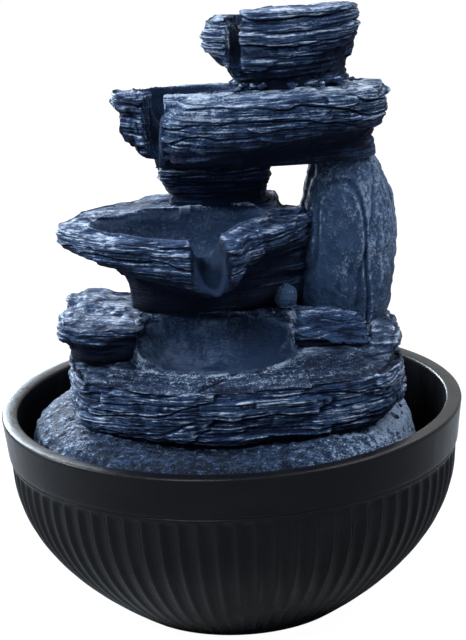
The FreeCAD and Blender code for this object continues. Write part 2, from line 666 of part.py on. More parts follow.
def make_intake_cover():
    """Snap-on strainer over the volute: slotted front, slot in the roof for the spigot, rails for the gate."""
    half_y, half_z = PUMP_WIDTH / 2, PUMP_HEIGHT / 2
    rear = motor_front + SLIP
    body = block(V(rear, TUBE_Y - half_y, axis_z - half_z), V(cover_front, TUBE_Y + half_y, axis_z + half_z))
    along_x = [e for e in body.Edges if abs(e.tangentAt(e.FirstParameter).x) > 0.9]
    body = body.makeFillet(PUMP_ROUND, along_x)
    body = body.cut(block(V(rear, TUBE_Y - half_y + COVER_WALL, axis_z - half_z + COVER_WALL),
                          V(cover_front - COVER_WALL, TUBE_Y + half_y - COVER_WALL, axis_z + half_z - COVER_WALL)))
    spigot = TUBE_BORE / 2 + SLIP
    body = body.cut(cylinder(spigot, PUMP_HEIGHT, V(TUBE_X, TUBE_Y, axis_z)))
    body = body.cut(block(V(rear, TUBE_Y - spigot, axis_z), V(TUBE_X, TUBE_Y + spigot, axis_z + PUMP_HEIGHT)))
    for index in range(INTAKE_SLOTS):
        y = TUBE_Y + (index - (INTAKE_SLOTS - 1) / 2) * INTAKE_SLOT_PITCH
        body = body.cut(block(V(cover_front - COVER_WALL, y - INTAKE_SLOT_WIDTH / 2, axis_z - INTAKE_SLOT_HEIGHT / 2),
                              V(cover_front, y + INTAKE_SLOT_WIDTH / 2, axis_z + INTAKE_SLOT_HEIGHT / 2)))
    for side in (-1, 1):
        inner = TUBE_Y + side * (GATE_WIDTH / 2 + SLIP)
        outer = inner + side * GATE_RAIL
        hook = inner - side * GATE_RAIL
        low, high = axis_z - INTAKE_SLOT_HEIGHT / 2 - GATE_RAIL, axis_z + INTAKE_SLOT_HEIGHT / 2 + GATE_RAIL
        face = cover_front + GATE_THICKNESS + 2 * SLIP
        body = body.fuse(block(V(cover_front, min(inner, outer), low), V(face, max(inner, outer), high)))
        body = body.fuse(block(V(face, min(hook, outer), low), V(face + GATE_RAIL, max(hook, outer), high)))
    return body


def make_intake_sponge():
    """Foam filter block behind the slots."""
    half_y = PUMP_WIDTH / 2 - COVER_WALL - SLIP
    half_z = PUMP_HEIGHT / 2 - COVER_WALL - SLIP
    return block(V(volute_front + SLIP, TUBE_Y - half_y, axis_z - half_z),
                 V(cover_front - COVER_WALL - SLIP, TUBE_Y + half_y, axis_z + half_z))


def make_flow_regulator():
    """Gate that slides up its rails over the intake slots, with a thumb tab."""
    low = axis_z - INTAKE_SLOT_HEIGHT / 2
    face = cover_front + SLIP
    plate = block(V(face, TUBE_Y - GATE_WIDTH / 2, low), V(face + GATE_THICKNESS, TUBE_Y + GATE_WIDTH / 2, low + GATE_HEIGHT))
    tab_half = GATE_WIDTH / 2 - 2 * GATE_RAIL
    tab = block(V(face, TUBE_Y - tab_half, low + GATE_HEIGHT / 2 - GATE_RAIL),
                V(face + GATE_THICKNESS + 3 * GATE_RAIL, TUBE_Y + tab_half, low + GATE_HEIGHT / 2 + GATE_RAIL))
    return plate.fuse(tab)


def make_base_mound():
    """Hollow island that carries the rocks: it stands on four legs, with arches for the water between them,
    spreads to a gravelly shoulder near the rim and is open under the rocks for the pump and its tube."""
    wide = plan_loop(ISLAND_PLAN, MOUND_WIDTH, MOUND_DEPTH, MOUND_X, MOUND_Y, ROCK_SIDES + 6)
    foot = plan_loop(ISLAND_PLAN, 2 * MOUND_FOOT_RADIUS, 2 * MOUND_FOOT_RADIUS, 0, 0, ROCK_SIDES + 6)
    shoulder = (MOUND_HEIGHT - MOUND_SHOULDER) / MOUND_HEIGHT
    blend = [(0.0, 0.0), (0.15, 0.0), (shoulder * 0.8, 0.93), (shoulder, 1.0), (1.0, 0.9)]
    body = strata_rock(foot, wide, floor_z, mound_z, 6, blend, 5)
    leg = MOUND_FOOT_RADIUS - 2 * MOUND_WALL
    waist = floor_z + MOUND_HEIGHT * 0.15
    belly = floor_z + MOUND_HEIGHT * shoulder * 0.8
    span = min(MOUND_WIDTH, MOUND_DEPTH) / 2 - 3 * MOUND_WALL
    cavity = revolve([(0, floor_z), (leg, floor_z), (leg, waist), (span, belly),
                      (span - MOUND_WALL, mound_z - MOUND_WALL), (0, mound_z - MOUND_WALL)])
    body = body.cut(cavity)
    for turn in (0, 90):
        reach = MOUND_WIDTH
        spring = floor_z + ARCH_HEIGHT - arch_half
        arch = block(V(-reach, -arch_half, floor_z), V(reach, arch_half, spring))
        arch = arch.fuse(cylinder(arch_half, 2 * reach, V(-reach, 0, spring), V(1, 0, 0)))
        arch.rotate(V(0, 0, 0), V(0, 0, 1), turn)
        body = body.cut(arch)
    return body.cut(cylinder(MOUND_TOP_HOLE / 2, 3 * MOUND_WALL, V(BASE_X, BASE_Y, mound_z - 2 * MOUND_WALL)))


def make_base_slab():
    """Thick bottom slab, undercut at its foot and hollow below like the casting it is."""
    wide = plan_loop(SLAB_PLAN, BASE_WIDTH, BASE_DEPTH, BASE_X, BASE_Y, ROCK_SIDES)
    foot = plan_loop(SLAB_PLAN, BASE_FOOT_WIDTH, BASE_FOOT_DEPTH, BASE_X, BASE_Y, ROCK_SIDES)
    blend = [(0.0, 0.0), (0.3, 0.6), (0.7, 1.0), (1.0, 0.9)]
    body = strata_rock(foot, wide, mound_z, base_z, 6, blend, 11)
    width, depth = BASE_FOOT_WIDTH * BASE_CAVITY_SHARE, BASE_FOOT_DEPTH * BASE_CAVITY_SHARE
    hollow = plan_loop(SLAB_PLAN, width, depth, BASE_X, BASE_Y, len(SLAB_PLAN))
    body = body.cut(smooth_loft(hollow, [(mound_z, 1.0), (base_z - BASE_ROOF, 0.9)]))
    return body.cut(tube_bore(mound_z, base_z))


def make_pool_rock():
    """Shelf with a sloping sandy apron and the back step that the lower pool is worn into."""
    shelf = plan_loop(SLAB_PLAN, SHELF_WIDTH, SHELF_DEPTH, SHELF_X, SHELF_Y, ROCK_SIDES)
    body = strata_rock(shelf, shelf, base_z, shelf_z, 2, [(0.0, 0.0), (1.0, 1.0)], 17)
    edge = SHELF_Y - SHELF_DEPTH / 2
    slope = block(V(-SHELF_WIDTH, -SHELF_DEPTH, 0), V(SHELF_WIDTH, 0, SHELF_DEPTH))
    slope.rotate(V(0, 0, 0), V(1, 0, 0), APRON_SLOPE)
    slope.translate(V(SHELF_X, edge + 0.8 * SHELF_HEIGHT / math.tan(math.radians(APRON_SLOPE)), shelf_z))
    body = body.cut(slope)
    step = plan_loop(BLOCK_PLAN, POOL_BACK_WIDTH, POOL_BACK_DEPTH, POOL_BACK_X, POOL_BACK_Y, ROCK_SIDES - 6)
    worn = [(POOL_BACK_X + 0.94 * (x - POOL_BACK_X), POOL_BACK_Y + 0.94 * (y - POOL_BACK_Y)) for x, y in step]
    body = body.fuse(strata_rock(step, worn, shelf_z, pool_z, 3, [(0.0, 0.0), (1.0, 1.0)], 23))
    sink = SHELF_HEIGHT + POOL_BACK_HEIGHT - POOL_FLOOR
    body = body.cut(scoop(HOLLOW_PLAN, POOL_WIDTH, POOL_DEPTH, POOL_X, POOL_Y, pool_z, sink, 2.0))
    return body.cut(tube_bore(base_z, pool_z))


def make_left_ledge():
    """Overhanging block at the left of the pool."""
    x = pool_back_left - ledge_room - LEFT_LEDGE_WIDTH / 2
    top = plan_loop(BLOCK_PLAN, LEFT_LEDGE_WIDTH, LEFT_LEDGE_DEPTH, x, LEFT_LEDGE_Y, ROCK_SIDES - 6)
    foot = plan_loop(BLOCK_PLAN, LEFT_LEDGE_WIDTH * 0.88, LEFT_LEDGE_DEPTH * 0.9, x, LEFT_LEDGE_Y, ROCK_SIDES - 6)
    blend = [(0.0, 0.0), (0.45, 1.0), (0.8, 1.0), (1.0, 0.2)]
    body = strata_rock(foot, top, shelf_z, shelf_z + LEFT_LEDGE_HEIGHT, 4, blend, 29)
    over = block(V(0, -LEFT_LEDGE_DEPTH, 0), V(2 * LEFT_LEDGE_WIDTH, LEFT_LEDGE_DEPTH, LEFT_LEDGE_HEIGHT))
    over.rotate(V(0, 0, 0), V(0, 1, 0), math.degrees(math.atan2(LEFT_LEDGE_FALL, LEFT_LEDGE_WIDTH)))
    over.translate(V(x - LEFT_LEDGE_WIDTH / 2, LEFT_LEDGE_Y, shelf_z + LEFT_LEDGE_HEIGHT))
    return body.cut(over)


def make_right_ledge():
    """Thin layered ledge at the right of the pool, in front of the boulder."""
    x = pool_back_right + ledge_room + RIGHT_LEDGE_WIDTH / 2
    y = BOULDER_Y - BOULDER_DEPTH / 2 - ledge_room - RIGHT_LEDGE_DEPTH / 2
    foot = plan_loop(BLOCK_PLAN, RIGHT_LEDGE_WIDTH, RIGHT_LEDGE_DEPTH, x, y, ROCK_SIDES - 6)
    top = plan_loop(BLOCK_PLAN, RIGHT_LEDGE_WIDTH * 0.92, RIGHT_LEDGE_DEPTH * 0.86, x, y, ROCK_SIDES - 6)
    return strata_rock(foot, top, shelf_z, shelf_z + RIGHT_LEDGE_HEIGHT, 3, [(0.0, 0.0), (1.0, 1.0)], 31)


def make_pebble():
    """Worn cobble between the middle basin and the boulder."""
    x = pool_back_right - 1.0 - PEBBLE_DIAMETER / 2
    y = POOL_BACK_Y - POOL_BACK_DEPTH * 0.31
    loop = plan_loop(ROUND_PLAN, PEBBLE_DIAMETER, PEBBLE_DIAMETER, x, y, len(ROUND_PLAN))
    stages = [(0.0, 0.78), (0.35, 1.0), (0.75, 0.8), (1.0, 0.35)]
    return smooth_loft(loop, [(pool_z + share * PEBBLE_HEIGHT, scale) for share, scale in stages])


def make_mid_basin():
    """Shell-shaped middle basin on its recessed foot: its rim falls to the front and the right, and a deep
    pouring lip leads out towards the viewer."""
    wide = plan_loop(SHELL_PLAN, MID_WIDTH, MID_DEPTH, MID_X, MID_Y, ROCK_SIDES)
    foot = plan_loop(FOOT_PLAN, MID_FOOT_WIDTH, MID_FOOT_DEPTH, MID_FOOT_X, MID_FOOT_Y, ROCK_SIDES)
    blend = [(0.0, 0.0), (0.2, 0.05), (0.36, 0.5), (0.48, 0.88), (0.62, 1.0), (1.0, 0.97)]
    body = strata_rock(foot, wide, pool_z, mid_z, 7, blend, 37)
    rim = block(V(0, -MID_DEPTH, 0), V(2 * MID_WIDTH, 0, MID_HEIGHT))
    rim.rotate(V(0, 0, 0), V(1, 0, 0), MID_RIM_FALL)
    rim.rotate(V(0, 0, 0), V(0, 1, 0), MID_RIM_TILT)
    neck_front = NECK_Y - NECK_DEPTH / 2 - ledge_room
    rim.translate(V(MID_X - MID_WIDTH / 2 - LEDGE, neck_front, mid_z))
    body = body.cut(rim)
    body = body.cut(scoop(BASIN_PLAN, MID_BASIN_WIDTH, MID_BASIN_DEPTH, MID_BASIN_X, MID_BASIN_Y, mid_z,
                          MID_BASIN_SINK, 2.0))
    lip = (MID_X + SHELL_PLAN[4][0] * MID_WIDTH / 2, MID_BASIN_Y)
    body = body.cut(pour_notch(MID_LIP_WIDTH, MID_DEPTH, lip, mid_z, MID_LIP_SINK, 2.0, -90, MID_LIP_FALL))
    return body.cut(tube_bore(pool_z, mid_z))


def make_neck_rock():
    """Layered stub between the middle basin and the upper slab, flaring to the left."""
    wide = plan_loop(BLOCK_PLAN, NECK_WIDTH, NECK_DEPTH, NECK_X, NECK_Y, ROCK_SIDES - 6)
    right = NECK_X + NECK_WIDTH / 2
    foot = plan_loop(BLOCK_PLAN, NECK_FOOT_WIDTH, NECK_DEPTH, right - NECK_FOOT_WIDTH / 2, NECK_Y, ROCK_SIDES - 6)
    body = strata_rock(foot, wide, mid_z, neck_z, 4, [(0.0, 0.0), (0.5, 0.3), (1.0, 1.0)], 41)
    return body.cut(tube_bore(mid_z, neck_z))


def make_upper_slab():
    """Upper slab: a trough behind a log-like front layer, with a tall spout at the front left."""
    wide = plan_loop(UPPER_PLAN, UPPER_WIDTH, UPPER_DEPTH, UPPER_X, UPPER_Y, ROCK_SIDES)
    foot = plan_loop(UPPER_PLAN, UPPER_FOOT_WIDTH, UPPER_FOOT_DEPTH, UPPER_FOOT_X, UPPER_FOOT_Y, ROCK_SIDES)
    blend = [(0.0, 0.0), (0.2, 0.2), (0.45, 0.9), (0.75, 1.0), (1.0, 0.88)]
    body = strata_rock(foot, wide, neck_z, upper_z, 7, blend, 43)
    body = body.cut(scoop(HOLLOW_PLAN, TROUGH_WIDTH, TROUGH_DEPTH, TROUGH_X, TROUGH_Y, upper_z, TROUGH_SINK, 2.0))
    start = (UPPER_X + UPPER_PLAN[2][0] * UPPER_WIDTH / 2 + UPPER_NOTCH_WIDTH, TROUGH_Y)
    body = body.cut(pour_notch(UPPER_NOTCH_WIDTH, UPPER_DEPTH, start, upper_z, UPPER_NOTCH_SINK, 2.0, -105))
    return body.cut(tube_bore(neck_z, upper_z))


def make_top_rock():
    """Crown rock with the spring that the tube feeds and a spout down its front."""
    wide = plan_loop(BLOCK_PLAN, CROWN_WIDTH, CROWN_DEPTH, CROWN_X, CROWN_Y, ROCK_SIDES)
    foot = plan_loop(BLOCK_PLAN, CROWN_FOOT_WIDTH, CROWN_FOOT_DEPTH, CROWN_FOOT_X, CROWN_FOOT_Y, ROCK_SIDES)
    blend = [(0.0, 0.0), (0.2, 0.15), (0.45, 0.85), (0.65, 1.0), (1.0, 0.85)]
    body = strata_rock(foot, wide, upper_z, crown_z, 6, blend, 47)
    tilt = math.degrees(math.atan2(CROWN_FALL, CROWN_WIDTH))
    fall = block(V(-2 * CROWN_WIDTH, -CROWN_DEPTH, 0), V(CROWN_WIDTH, CROWN_DEPTH, CROWN_HEIGHT))
    fall.rotate(V(0, 0, 0), V(0, 1, 0), -tilt)
    fall.translate(V(CROWN_X + CROWN_WIDTH / 2, CROWN_Y, crown_z))
    body = body.cut(fall)
    low_rim = crown_z - CROWN_FALL
    over = CROWN_FALL + 2
    body = body.cut(scoop(HOLLOW_PLAN, SPRING_WIDTH, SPRING_DEPTH, TUBE_X, TUBE_Y, low_rim, SPRING_SINK, over))
    seat = TUBE_OUTER / 2 + COLLAR_WALL + SLIP
    body = body.cut(cylinder(seat, SPRING_SINK, V(TUBE_X, TUBE_Y, spring_z)))
    x = TUBE_X - CROWN_NOTCH_WIDTH / 2
    body = body.cut(pour_notch(CROWN_NOTCH_WIDTH, CROWN_DEPTH, (x, TUBE_Y), low_rim, SPRING_SINK - 2, over, -95))
    lip = CROWN_Y - CROWN_DEPTH / 2 + 1.3 * CROWN_NOTCH_WIDTH
    body = body.cut(pour_notch(CROWN_NOTCH_WIDTH, CROWN_DEPTH, (x - CROWN_NOTCH_WIDTH / 3, lip), low_rim,
                               CROWN_NOTCH_SINK, over, -95))
    return body.cut(tube_bore(upper_z, crown_z))


def make_boulder():
    """Tall water-worn boulder that props the right end of the upper slab."""
    loop = plan_loop(BLOCK_PLAN, BOULDER_WIDTH, BOULDER_DEPTH, boulder_x, BOULDER_Y, len(BLOCK_PLAN))
    height = neck_z - shelf_z
    stages = [(0.0, 0.8), (0.12, 0.88), (0.35, 0.95), (0.58, 0.97), (0.82, 0.88), (1.0, 0.7)]
    return smooth_loft(loop, [(shelf_z + height * share, scale) for share, scale in stages])


def make_riser_tube():
    """Clear hose from the pump's spigot up through every rock to the spring."""
    low = spigot_top - TUBE_ENGAGEMENT
    return ring(TUBE_OUTER / 2, TUBE_BORE / 2, spring_z + TUBE_PROUD - low, V(TUBE_X, TUBE_Y, low))


def make_spout_collar():
    """Rubber collar round the end of the tube, on the floor of the spring."""
    return ring(TUBE_OUTER / 2 + COLLAR_WALL, TUBE_OUTER / 2 + FIT, COLLAR_HEIGHT, V(TUBE_X, TUBE_Y, spring_z))


NODES = {
    "bowl": make_bowl,
    "bowl_feet": make_bowl_feet,
    "cord_grommet": make_cord_grommet,
    "pump_housing": make_pump_housing,
    "pump_rear_cap": make_rear_cap,
    "pump_cord_gland": make_cord_gland,
    "stator_core": make_stator_core,
    "stator_coil": make_stator_coil,
    "pump_shaft": make_pump_shaft,
    "shaft_bushes": make_shaft_bushes,
    "rotor_magnet": make_rotor_magnet,
    "impeller": make_impeller,
    "pump_volute": make_pump_volute,
    "volute_seal": make_volute_seal,
    "intake_cover": make_intake_cover,
    "intake_sponge": make_intake_sponge,
    "flow_regulator": make_flow_regulator,
    "suction_feet": make_suction_feet,
    "base_mound": make_base_mound,
    "base_slab": make_base_slab,
    "pool_rock": make_pool_rock,
    "left_ledge_rock": make_left_ledge,
    "right_ledge_rock": make_right_ledge,
    "pebble": make_pebble,
    "mid_basin": make_mid_basin,
    "neck_rock": make_neck_rock,
    "upper_slab": make_upper_slab,
    "top_rock": make_top_rock,
    "standing_boulder": make_boulder,
    "riser_tube": make_riser_tube,
    "spout_collar": make_spout_collar,
}

os.makedirs("parts", exist_ok=True)
for name, make in NODES.items():
    write(name, make())
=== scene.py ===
# %% [markdown]
# # A tabletop rock fountain
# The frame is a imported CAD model: a fluted bowl, a pump on its floor and a stack of cast rocks that lifts
# out. Here every part that shows gets its looks. Sizes below are millimetres, as on a maker's drawing, and
# are turned into metres only when a mesh is made.

import math
from functools import partial
from itertools import product

import bpy
import numpy as np
from mathutils import Matrix, Vector


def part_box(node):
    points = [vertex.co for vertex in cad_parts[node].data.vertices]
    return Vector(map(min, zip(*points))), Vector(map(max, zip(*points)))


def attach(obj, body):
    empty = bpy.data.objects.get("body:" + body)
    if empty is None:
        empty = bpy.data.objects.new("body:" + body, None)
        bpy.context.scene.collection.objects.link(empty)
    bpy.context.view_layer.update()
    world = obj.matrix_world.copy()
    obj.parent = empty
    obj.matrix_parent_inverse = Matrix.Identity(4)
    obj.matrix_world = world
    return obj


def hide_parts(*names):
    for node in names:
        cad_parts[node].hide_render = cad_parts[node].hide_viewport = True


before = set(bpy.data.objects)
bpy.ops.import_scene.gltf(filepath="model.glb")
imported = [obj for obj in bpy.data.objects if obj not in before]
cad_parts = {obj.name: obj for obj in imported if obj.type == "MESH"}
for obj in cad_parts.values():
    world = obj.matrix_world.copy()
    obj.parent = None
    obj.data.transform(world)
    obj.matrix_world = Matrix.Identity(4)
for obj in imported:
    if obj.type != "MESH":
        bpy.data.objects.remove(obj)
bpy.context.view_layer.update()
MM = 0.001
scene = bpy.context.scene

# %% [markdown]
# ## Camera
# The view is a long lens from a little above, turned slightly on its axis, so the right side of the rim
# stands higher than the left. A camera can be aimed with a constraint, but a rotation built from the line of
# sight keeps the roll exact.

# %% Aim the camera
EYE = np.array([0.0, -1470.0, 631.75])
SIGHT = np.array([0.002256, 0.956680, -0.291133])
ROLL = math.radians(-2.79)
FOCAL_PIXELS = 2455.6
IMAGE_HEIGHT = 640
SENSOR = 36.0


def camera_axes(sight, roll):
    """Right and up of a view: level first, then both turned about the line of sight by the roll."""
    right = np.cross(sight, [0, 0, 1])
    right /= np.linalg.norm(right)
    up = np.cross(right, sight)
    return right * math.cos(roll) + up * math.sin(roll), up * math.cos(roll) - right * math.sin(roll)


camera = bpy.data.objects.new("camera", bpy.data.cameras.new("camera"))
scene.collection.objects.link(camera)
across, upward = camera_axes(SIGHT, ROLL)
pose = np.eye(4)
pose[:3, :3] = np.stack([across, upward, -SIGHT], axis=1)
pose[:3, 3] = EYE * MM
camera.matrix_world = Matrix(pose.tolist())
camera.data.sensor_width = SENSOR
camera.data.lens = FOCAL_PIXELS / IMAGE_HEIGHT * SENSOR
scene.camera = camera
print("camera lens", round(camera.data.lens, 1), "mm")

# %% [markdown]
# ## Short names for shader nodes
# Floor, surround and paints are node trees. A helper that adds a node, feeds it and hands back its output
# lets a tree be written like a formula; wiring every node by hand would take a page for each material.

# %% Node tools


class Nodes:
    """The nodes of one tree; methods take sockets, numbers or colours and return the new node's output."""

    def __init__(self, tree):
        self.tree = tree

    def feed(self, socket, value):
        """Link one socket to another, or set its constant; a colour of three numbers gets its alpha."""
        if isinstance(value, bpy.types.NodeSocket):
            self.tree.links.new(value, socket)
        else:
            socket.default_value = value + (1.0,) if isinstance(value, tuple) else value

    def wire(self, node, **values):
        """Feed several sockets by name; an underscore stands for a space."""
        for label, value in values.items():
            self.feed(node.inputs[label.replace("_", " ")], value)

    def add(self, kind, **settings):
        """New node, returned whole, with values for sockets and properties by name."""
        node = self.tree.nodes.new("ShaderNode" + kind)
        for key, value in settings.items():
            if key in node.inputs:
                self.feed(node.inputs[key], value)
            else:
                setattr(node, key, value)
        return node

    def math(self, operation, *values):
        node = self.add("Math", operation=operation)
        for socket, value in zip(node.inputs, values):
            self.feed(socket, value)
        return node.outputs[0]

    def times(self, a, b):
        return self.math("MULTIPLY", a, b)

    def blend(self, *terms):
        """Sum of (socket, weight) pairs."""
        total = None
        for socket, weight in terms:
            term = self.times(socket, weight)
            total = term if total is None else self.math("ADD", total, term)
        return total

    def curve(self, value, low, high, to_low=0.0, to_high=1.0):
        """S-curve from one range to another."""
        node = self.add("MapRange", interpolation_type="SMOOTHSTEP")
        for socket, number in zip(node.inputs, (value, low, high, to_low, to_high)):
            self.feed(socket, number)
        return node.outputs[0]

    def mix(self, share, a, b):
        """Mix of two colours."""
        node = self.add("Mix", data_type="RGBA")
        self.feed(node.inputs[0], share)
        for socket, value in zip([s for s in node.inputs if s.type == "RGBA"], (a, b)):
            self.feed(socket, value)
        return [s for s in node.outputs if s.type == "RGBA"][0]

    def texture(self, kind, scale, stretch=(1, 1, 1), **settings):
        """Texture node, returned whole, on stretched Object coordinates."""
        mapping = self.add("Mapping")
        mapping.inputs["Scale"].default_value = stretch
        self.feed(mapping.inputs["Vector"], self.add("TexCoord").outputs["Object"])
        return self.add("Tex" + kind, Scale=scale, Vector=mapping.outputs[0], **settings)

    def noise(self, scale, stretch=(1, 1, 1), detail=5.0, roughness=0.6, swirl=0.0):
        """Noise about zero, from about -0.5 to 0.5; the swirl bends it."""
        node = self.texture("Noise", scale, stretch, Detail=detail, Roughness=roughness, Distortion=swirl)
        return self.math("SUBTRACT", node.outputs["Fac"], 0.5)

    def attribute(self, name):
        """Value that the mesh keeps under a name; 0 where it has none."""
        return self.add("Attribute", attribute_name=name).outputs["Fac"]

    def rays(self, *kinds):
        """1 for rays of any of these kinds, 0 for all others."""
        path = self.add("LightPath")
        chosen, *others = [path.outputs[f"Is {kind} Ray"] for kind in kinds]
        for other in others:
            chosen = self.math("MAXIMUM", chosen, other)
        return chosen

    def bump(self, shader, height, distance, strength):
        """Fine relief from a height into the shader's normal; the distance is in metres."""
        node = self.add("Bump", Distance=distance, Strength=strength, Height=height)
        self.feed(shader.inputs["Normal"], node.outputs[0])


def new_material(name, **sockets):
    """Material with the given constants on its Principled shader; returns it, its nodes and the shader."""
    material = bpy.data.materials.new(name)
    material.use_nodes = True
    nodes = Nodes(material.node_tree)
    shader = material.node_tree.nodes["Principled BSDF"]
    nodes.wire(shader, **sockets)
    return material, nodes, shader


print("node tools ready")

# %% [markdown]
# ## Stage and light
# A pale floor and a pale surround, with soft lamps. The strongest stand at the left and in front, as an open
# sky does through a window; one low lamp at the back left gives the wet edges and the rim their shine. The
# surround is white to the camera, in reflections and through clear parts, and dim to all other light, so the
# white of the background doesn't wash over the rocks. The floor is white to the camera only.

# %% Build the stage
scene.view_settings.view_transform = "Standard"
FLOOR_REACH = 6.0
FLOOR_GLOW, GLOW_SHARE = 1.2, 0.82
SKY_TINT, SKY_LEVEL = (0.4, 0.66, 1.0), 0.15
WHITE_LIGHT = (1.0, 1.0, 1.0)
AIM = Vector((0, 0, 0.2))


def make_floor():
    """A flat square, far larger than the view, that shows nearly white but keeps the object's shadow."""
    mesh = bpy.data.meshes.new("floor")
    corners = np.array([[-1, -1, 0], [1, -1, 0], [1, 1, 0], [-1, 1, 0]]) * FLOOR_REACH
    mesh.from_pydata(corners.tolist(), [], [[0, 1, 2, 3]])
    floor = bpy.data.objects.new("floor", mesh)
    scene.collection.objects.link(floor)
    material, nodes, shader = new_material("floor_pale", Base_Color=(0.3, 0.3, 0.3), Roughness=0.9,
                                           Specular_IOR_Level=0.1)
    glow = nodes.add("Emission", Strength=FLOOR_GLOW)
    mix = nodes.add("MixShader", Fac=nodes.times(nodes.rays("Camera"), GLOW_SHARE))
    nodes.feed(mix.inputs[1], shader.outputs[0])
    nodes.feed(mix.inputs[2], glow.outputs[0])
    nodes.wire(nodes.tree.nodes["Material Output"], Surface=mix.outputs[0])
    mesh.materials.append(material)


def make_world():
    """White where it shows as background; a dim sky colour as light."""
    world = bpy.data.worlds.new("surround")
    world.use_nodes = True
    nodes = Nodes(world.node_tree)
    rays = nodes.rays("Camera", "Glossy", "Transmission")
    strength = nodes.add("Mix", Factor=rays, A=SKY_LEVEL, B=1.0)
    nodes.wire(world.node_tree.nodes["Background"], Strength=strength.outputs["Result"],
               Color=nodes.mix(rays, SKY_TINT, WHITE_LIGHT))
    scene.world = world


def soft_lamp(name, at, size, watts, tint):
    """A square area lamp aimed at the middle of the rocks; places and sizes of lamps are in metres."""
    lamp = bpy.data.objects.new(name, bpy.data.lights.new(name, "AREA"))
    lamp.data.size = size
    lamp.data.energy = watts
    lamp.data.color = tint
    lamp.location = at
    lamp.rotation_euler = (AIM - Vector(at)).to_track_quat("-Z", "Y").to_euler()
    scene.collection.objects.link(lamp)


make_floor()
make_world()
soft_lamp("sky_left", (-1.35, 0.25, 1.1), 0.6, 48, (0.84, 0.92, 1.0))
soft_lamp("sky_back", (0.5, 1.1, 1.5), 1.0, 14, (0.84, 0.92, 1.0))
soft_lamp("sky_front", (-0.65, -1.3, 1.5), 0.5, 40, (0.87, 0.94, 1.0))
soft_lamp("sky_right", (1.1, -0.35, 1.45), 0.6, 26, (0.9, 0.95, 1.0))
soft_lamp("sky_rear_left", (-0.62, 1.38, 0.6), 0.52, 38, (0.76, 0.88, 1.0))
print("stage: floor, surround and five soft lamps")

# %% [markdown]
# ## Noise and beds
# Slate breaks in sheets, and each sheet breaks again along its length. The eye reads those two kinds of line.
# A lattice of fixed random values, read smoothly between its points, gives the noise; read by bed number and
# by fragment number it gives each broken piece its own step. A displacement texture could do the first, but
# not the fragments, and numbers keep the same stone on every run.

# %% Noise on whole arrays


def lattice(ix, iy, iz, seed):
    """Repeatable value from -1 to 1 for each whole-number corner, by mixing its bits."""
    h = (ix * 374761393 + iy * 668265263 + iz * 1274126177 + seed * 362437) & 0xFFFFFFFF
    h = ((h ^ (h >> 13)) * 1274126177) & 0xFFFFFFFF
    h = ((h ^ (h >> 16)) * 2246822519) & 0xFFFFFFFF
    return ((h ^ (h >> 15)) & 0xFFFF) / 32767.5 - 1.0


def noise(x, y, z, seed):
    """Smooth noise: the eight lattice values round a point, weighted by an S-curve along each axis."""
    x, y, z = np.broadcast_arrays(x, y, z)
    fx, fy, fz = np.floor(x), np.floor(y), np.floor(z)
    ix, iy, iz = fx.astype(np.int64), fy.astype(np.int64), fz.astype(np.int64)
    tx, ty, tz = (t * t * t * (t * (t * 6 - 15) + 10) for t in (x - fx, y - fy, z - fz))
    total = 0.0
    for dx, dy, dz in product((0, 1), repeat=3):
        weight = (tx if dx else 1 - tx) * (ty if dy else 1 - ty) * (tz if dz else 1 - tz)
        total = total + weight * lattice(ix + dx, iy + dy, iz + dz, seed)
    return total


def cloud(x, y, z, size, seed, octaves=4):
    """Sum of noises, each half the size and half the strength of the one before."""
    total, weight = 0.0, 0.0
    for octave in range(octaves):
        share = 0.5 ** octave
        grain = size * share
        total = total + share * noise(x / grain, y / grain, z / grain, seed + octave)
        weight += share
    return total / weight


def ramp(low, high, value):
    """S-curve from 0 at low to 1 at high."""
    t = np.clip((value - low) / (high - low), 0, 1)
    return t * t * (3 - 2 * t)


def beds(x, y, z, along, thick, length, seed, dip):
    """Step of the broken piece that holds each point, -1 to 1, and the crease over its bed, 0 to 1. A bed's
    number is the height over its thickness, bent by two sizes of noise; a fragment's number is the way along
    over a length of the bed's own. Each step gives way to the next over the last part of bed and fragment."""
    level = (z + dip[0] * x + dip[1] * y) / thick
    level = level + 0.9 * noise(x / 60, y / 60, z / 45, seed) + 0.2 * noise(x / 13, y / 13, z / 8, seed + 1)
    number = np.floor(level).astype(np.int64)
    part = level - number

    def step(n):
        own = lattice(n, 0, 0, seed + 2)
        wander = 0.35 * noise(along / 9, n * 0.7, z / 6, seed + 3)
        place = along / (length * (1 + 0.45 * own)) + 17 * own + wander
        piece = np.floor(place).astype(np.int64)
        turn = ramp(0.86, 1.0, place - piece)
        here, ahead = lattice(n, piece, 1, seed), lattice(n, piece + 1, 1, seed)
        return here * (1 - turn) + ahead * turn

    turn = ramp(0.84, 1.0, part)
    crease = np.exp(-((part - 0.9) / 0.07) ** 2)
    return step(number) * (1 - turn) + step(number + 1) * turn, crease


def sheets(x, y, size, seed):
    """Depth below the topmost sheet on a flat broken top, 0 to 1: slow noise cut into three levels with sharp
    edges."""
    level = 3 * (0.5 + 0.5 * cloud(x, y, 0.5, size, seed, 3))
    number = np.floor(level)
    return np.clip((number + ramp(0.85, 1.0, level - number)) / 3, 0, 1)


print("noise check", round(float(noise(0.5, 0.5, 0.5, 1)), 4))

# %% [markdown]
# ## From plan and section to a rock
# Each casting is drawn as a maker would draw it: its plan at the widest level, the plan of its foot, the
# height of its top surface over the plan, and the height of its lower edge round the plan. The surface runs
# from the foot out along the underside, up the broken wall and in over the top. It could be sculpted from a
# cube, but a drawing keeps every basin and spout where the water needs it.

# %% Plans


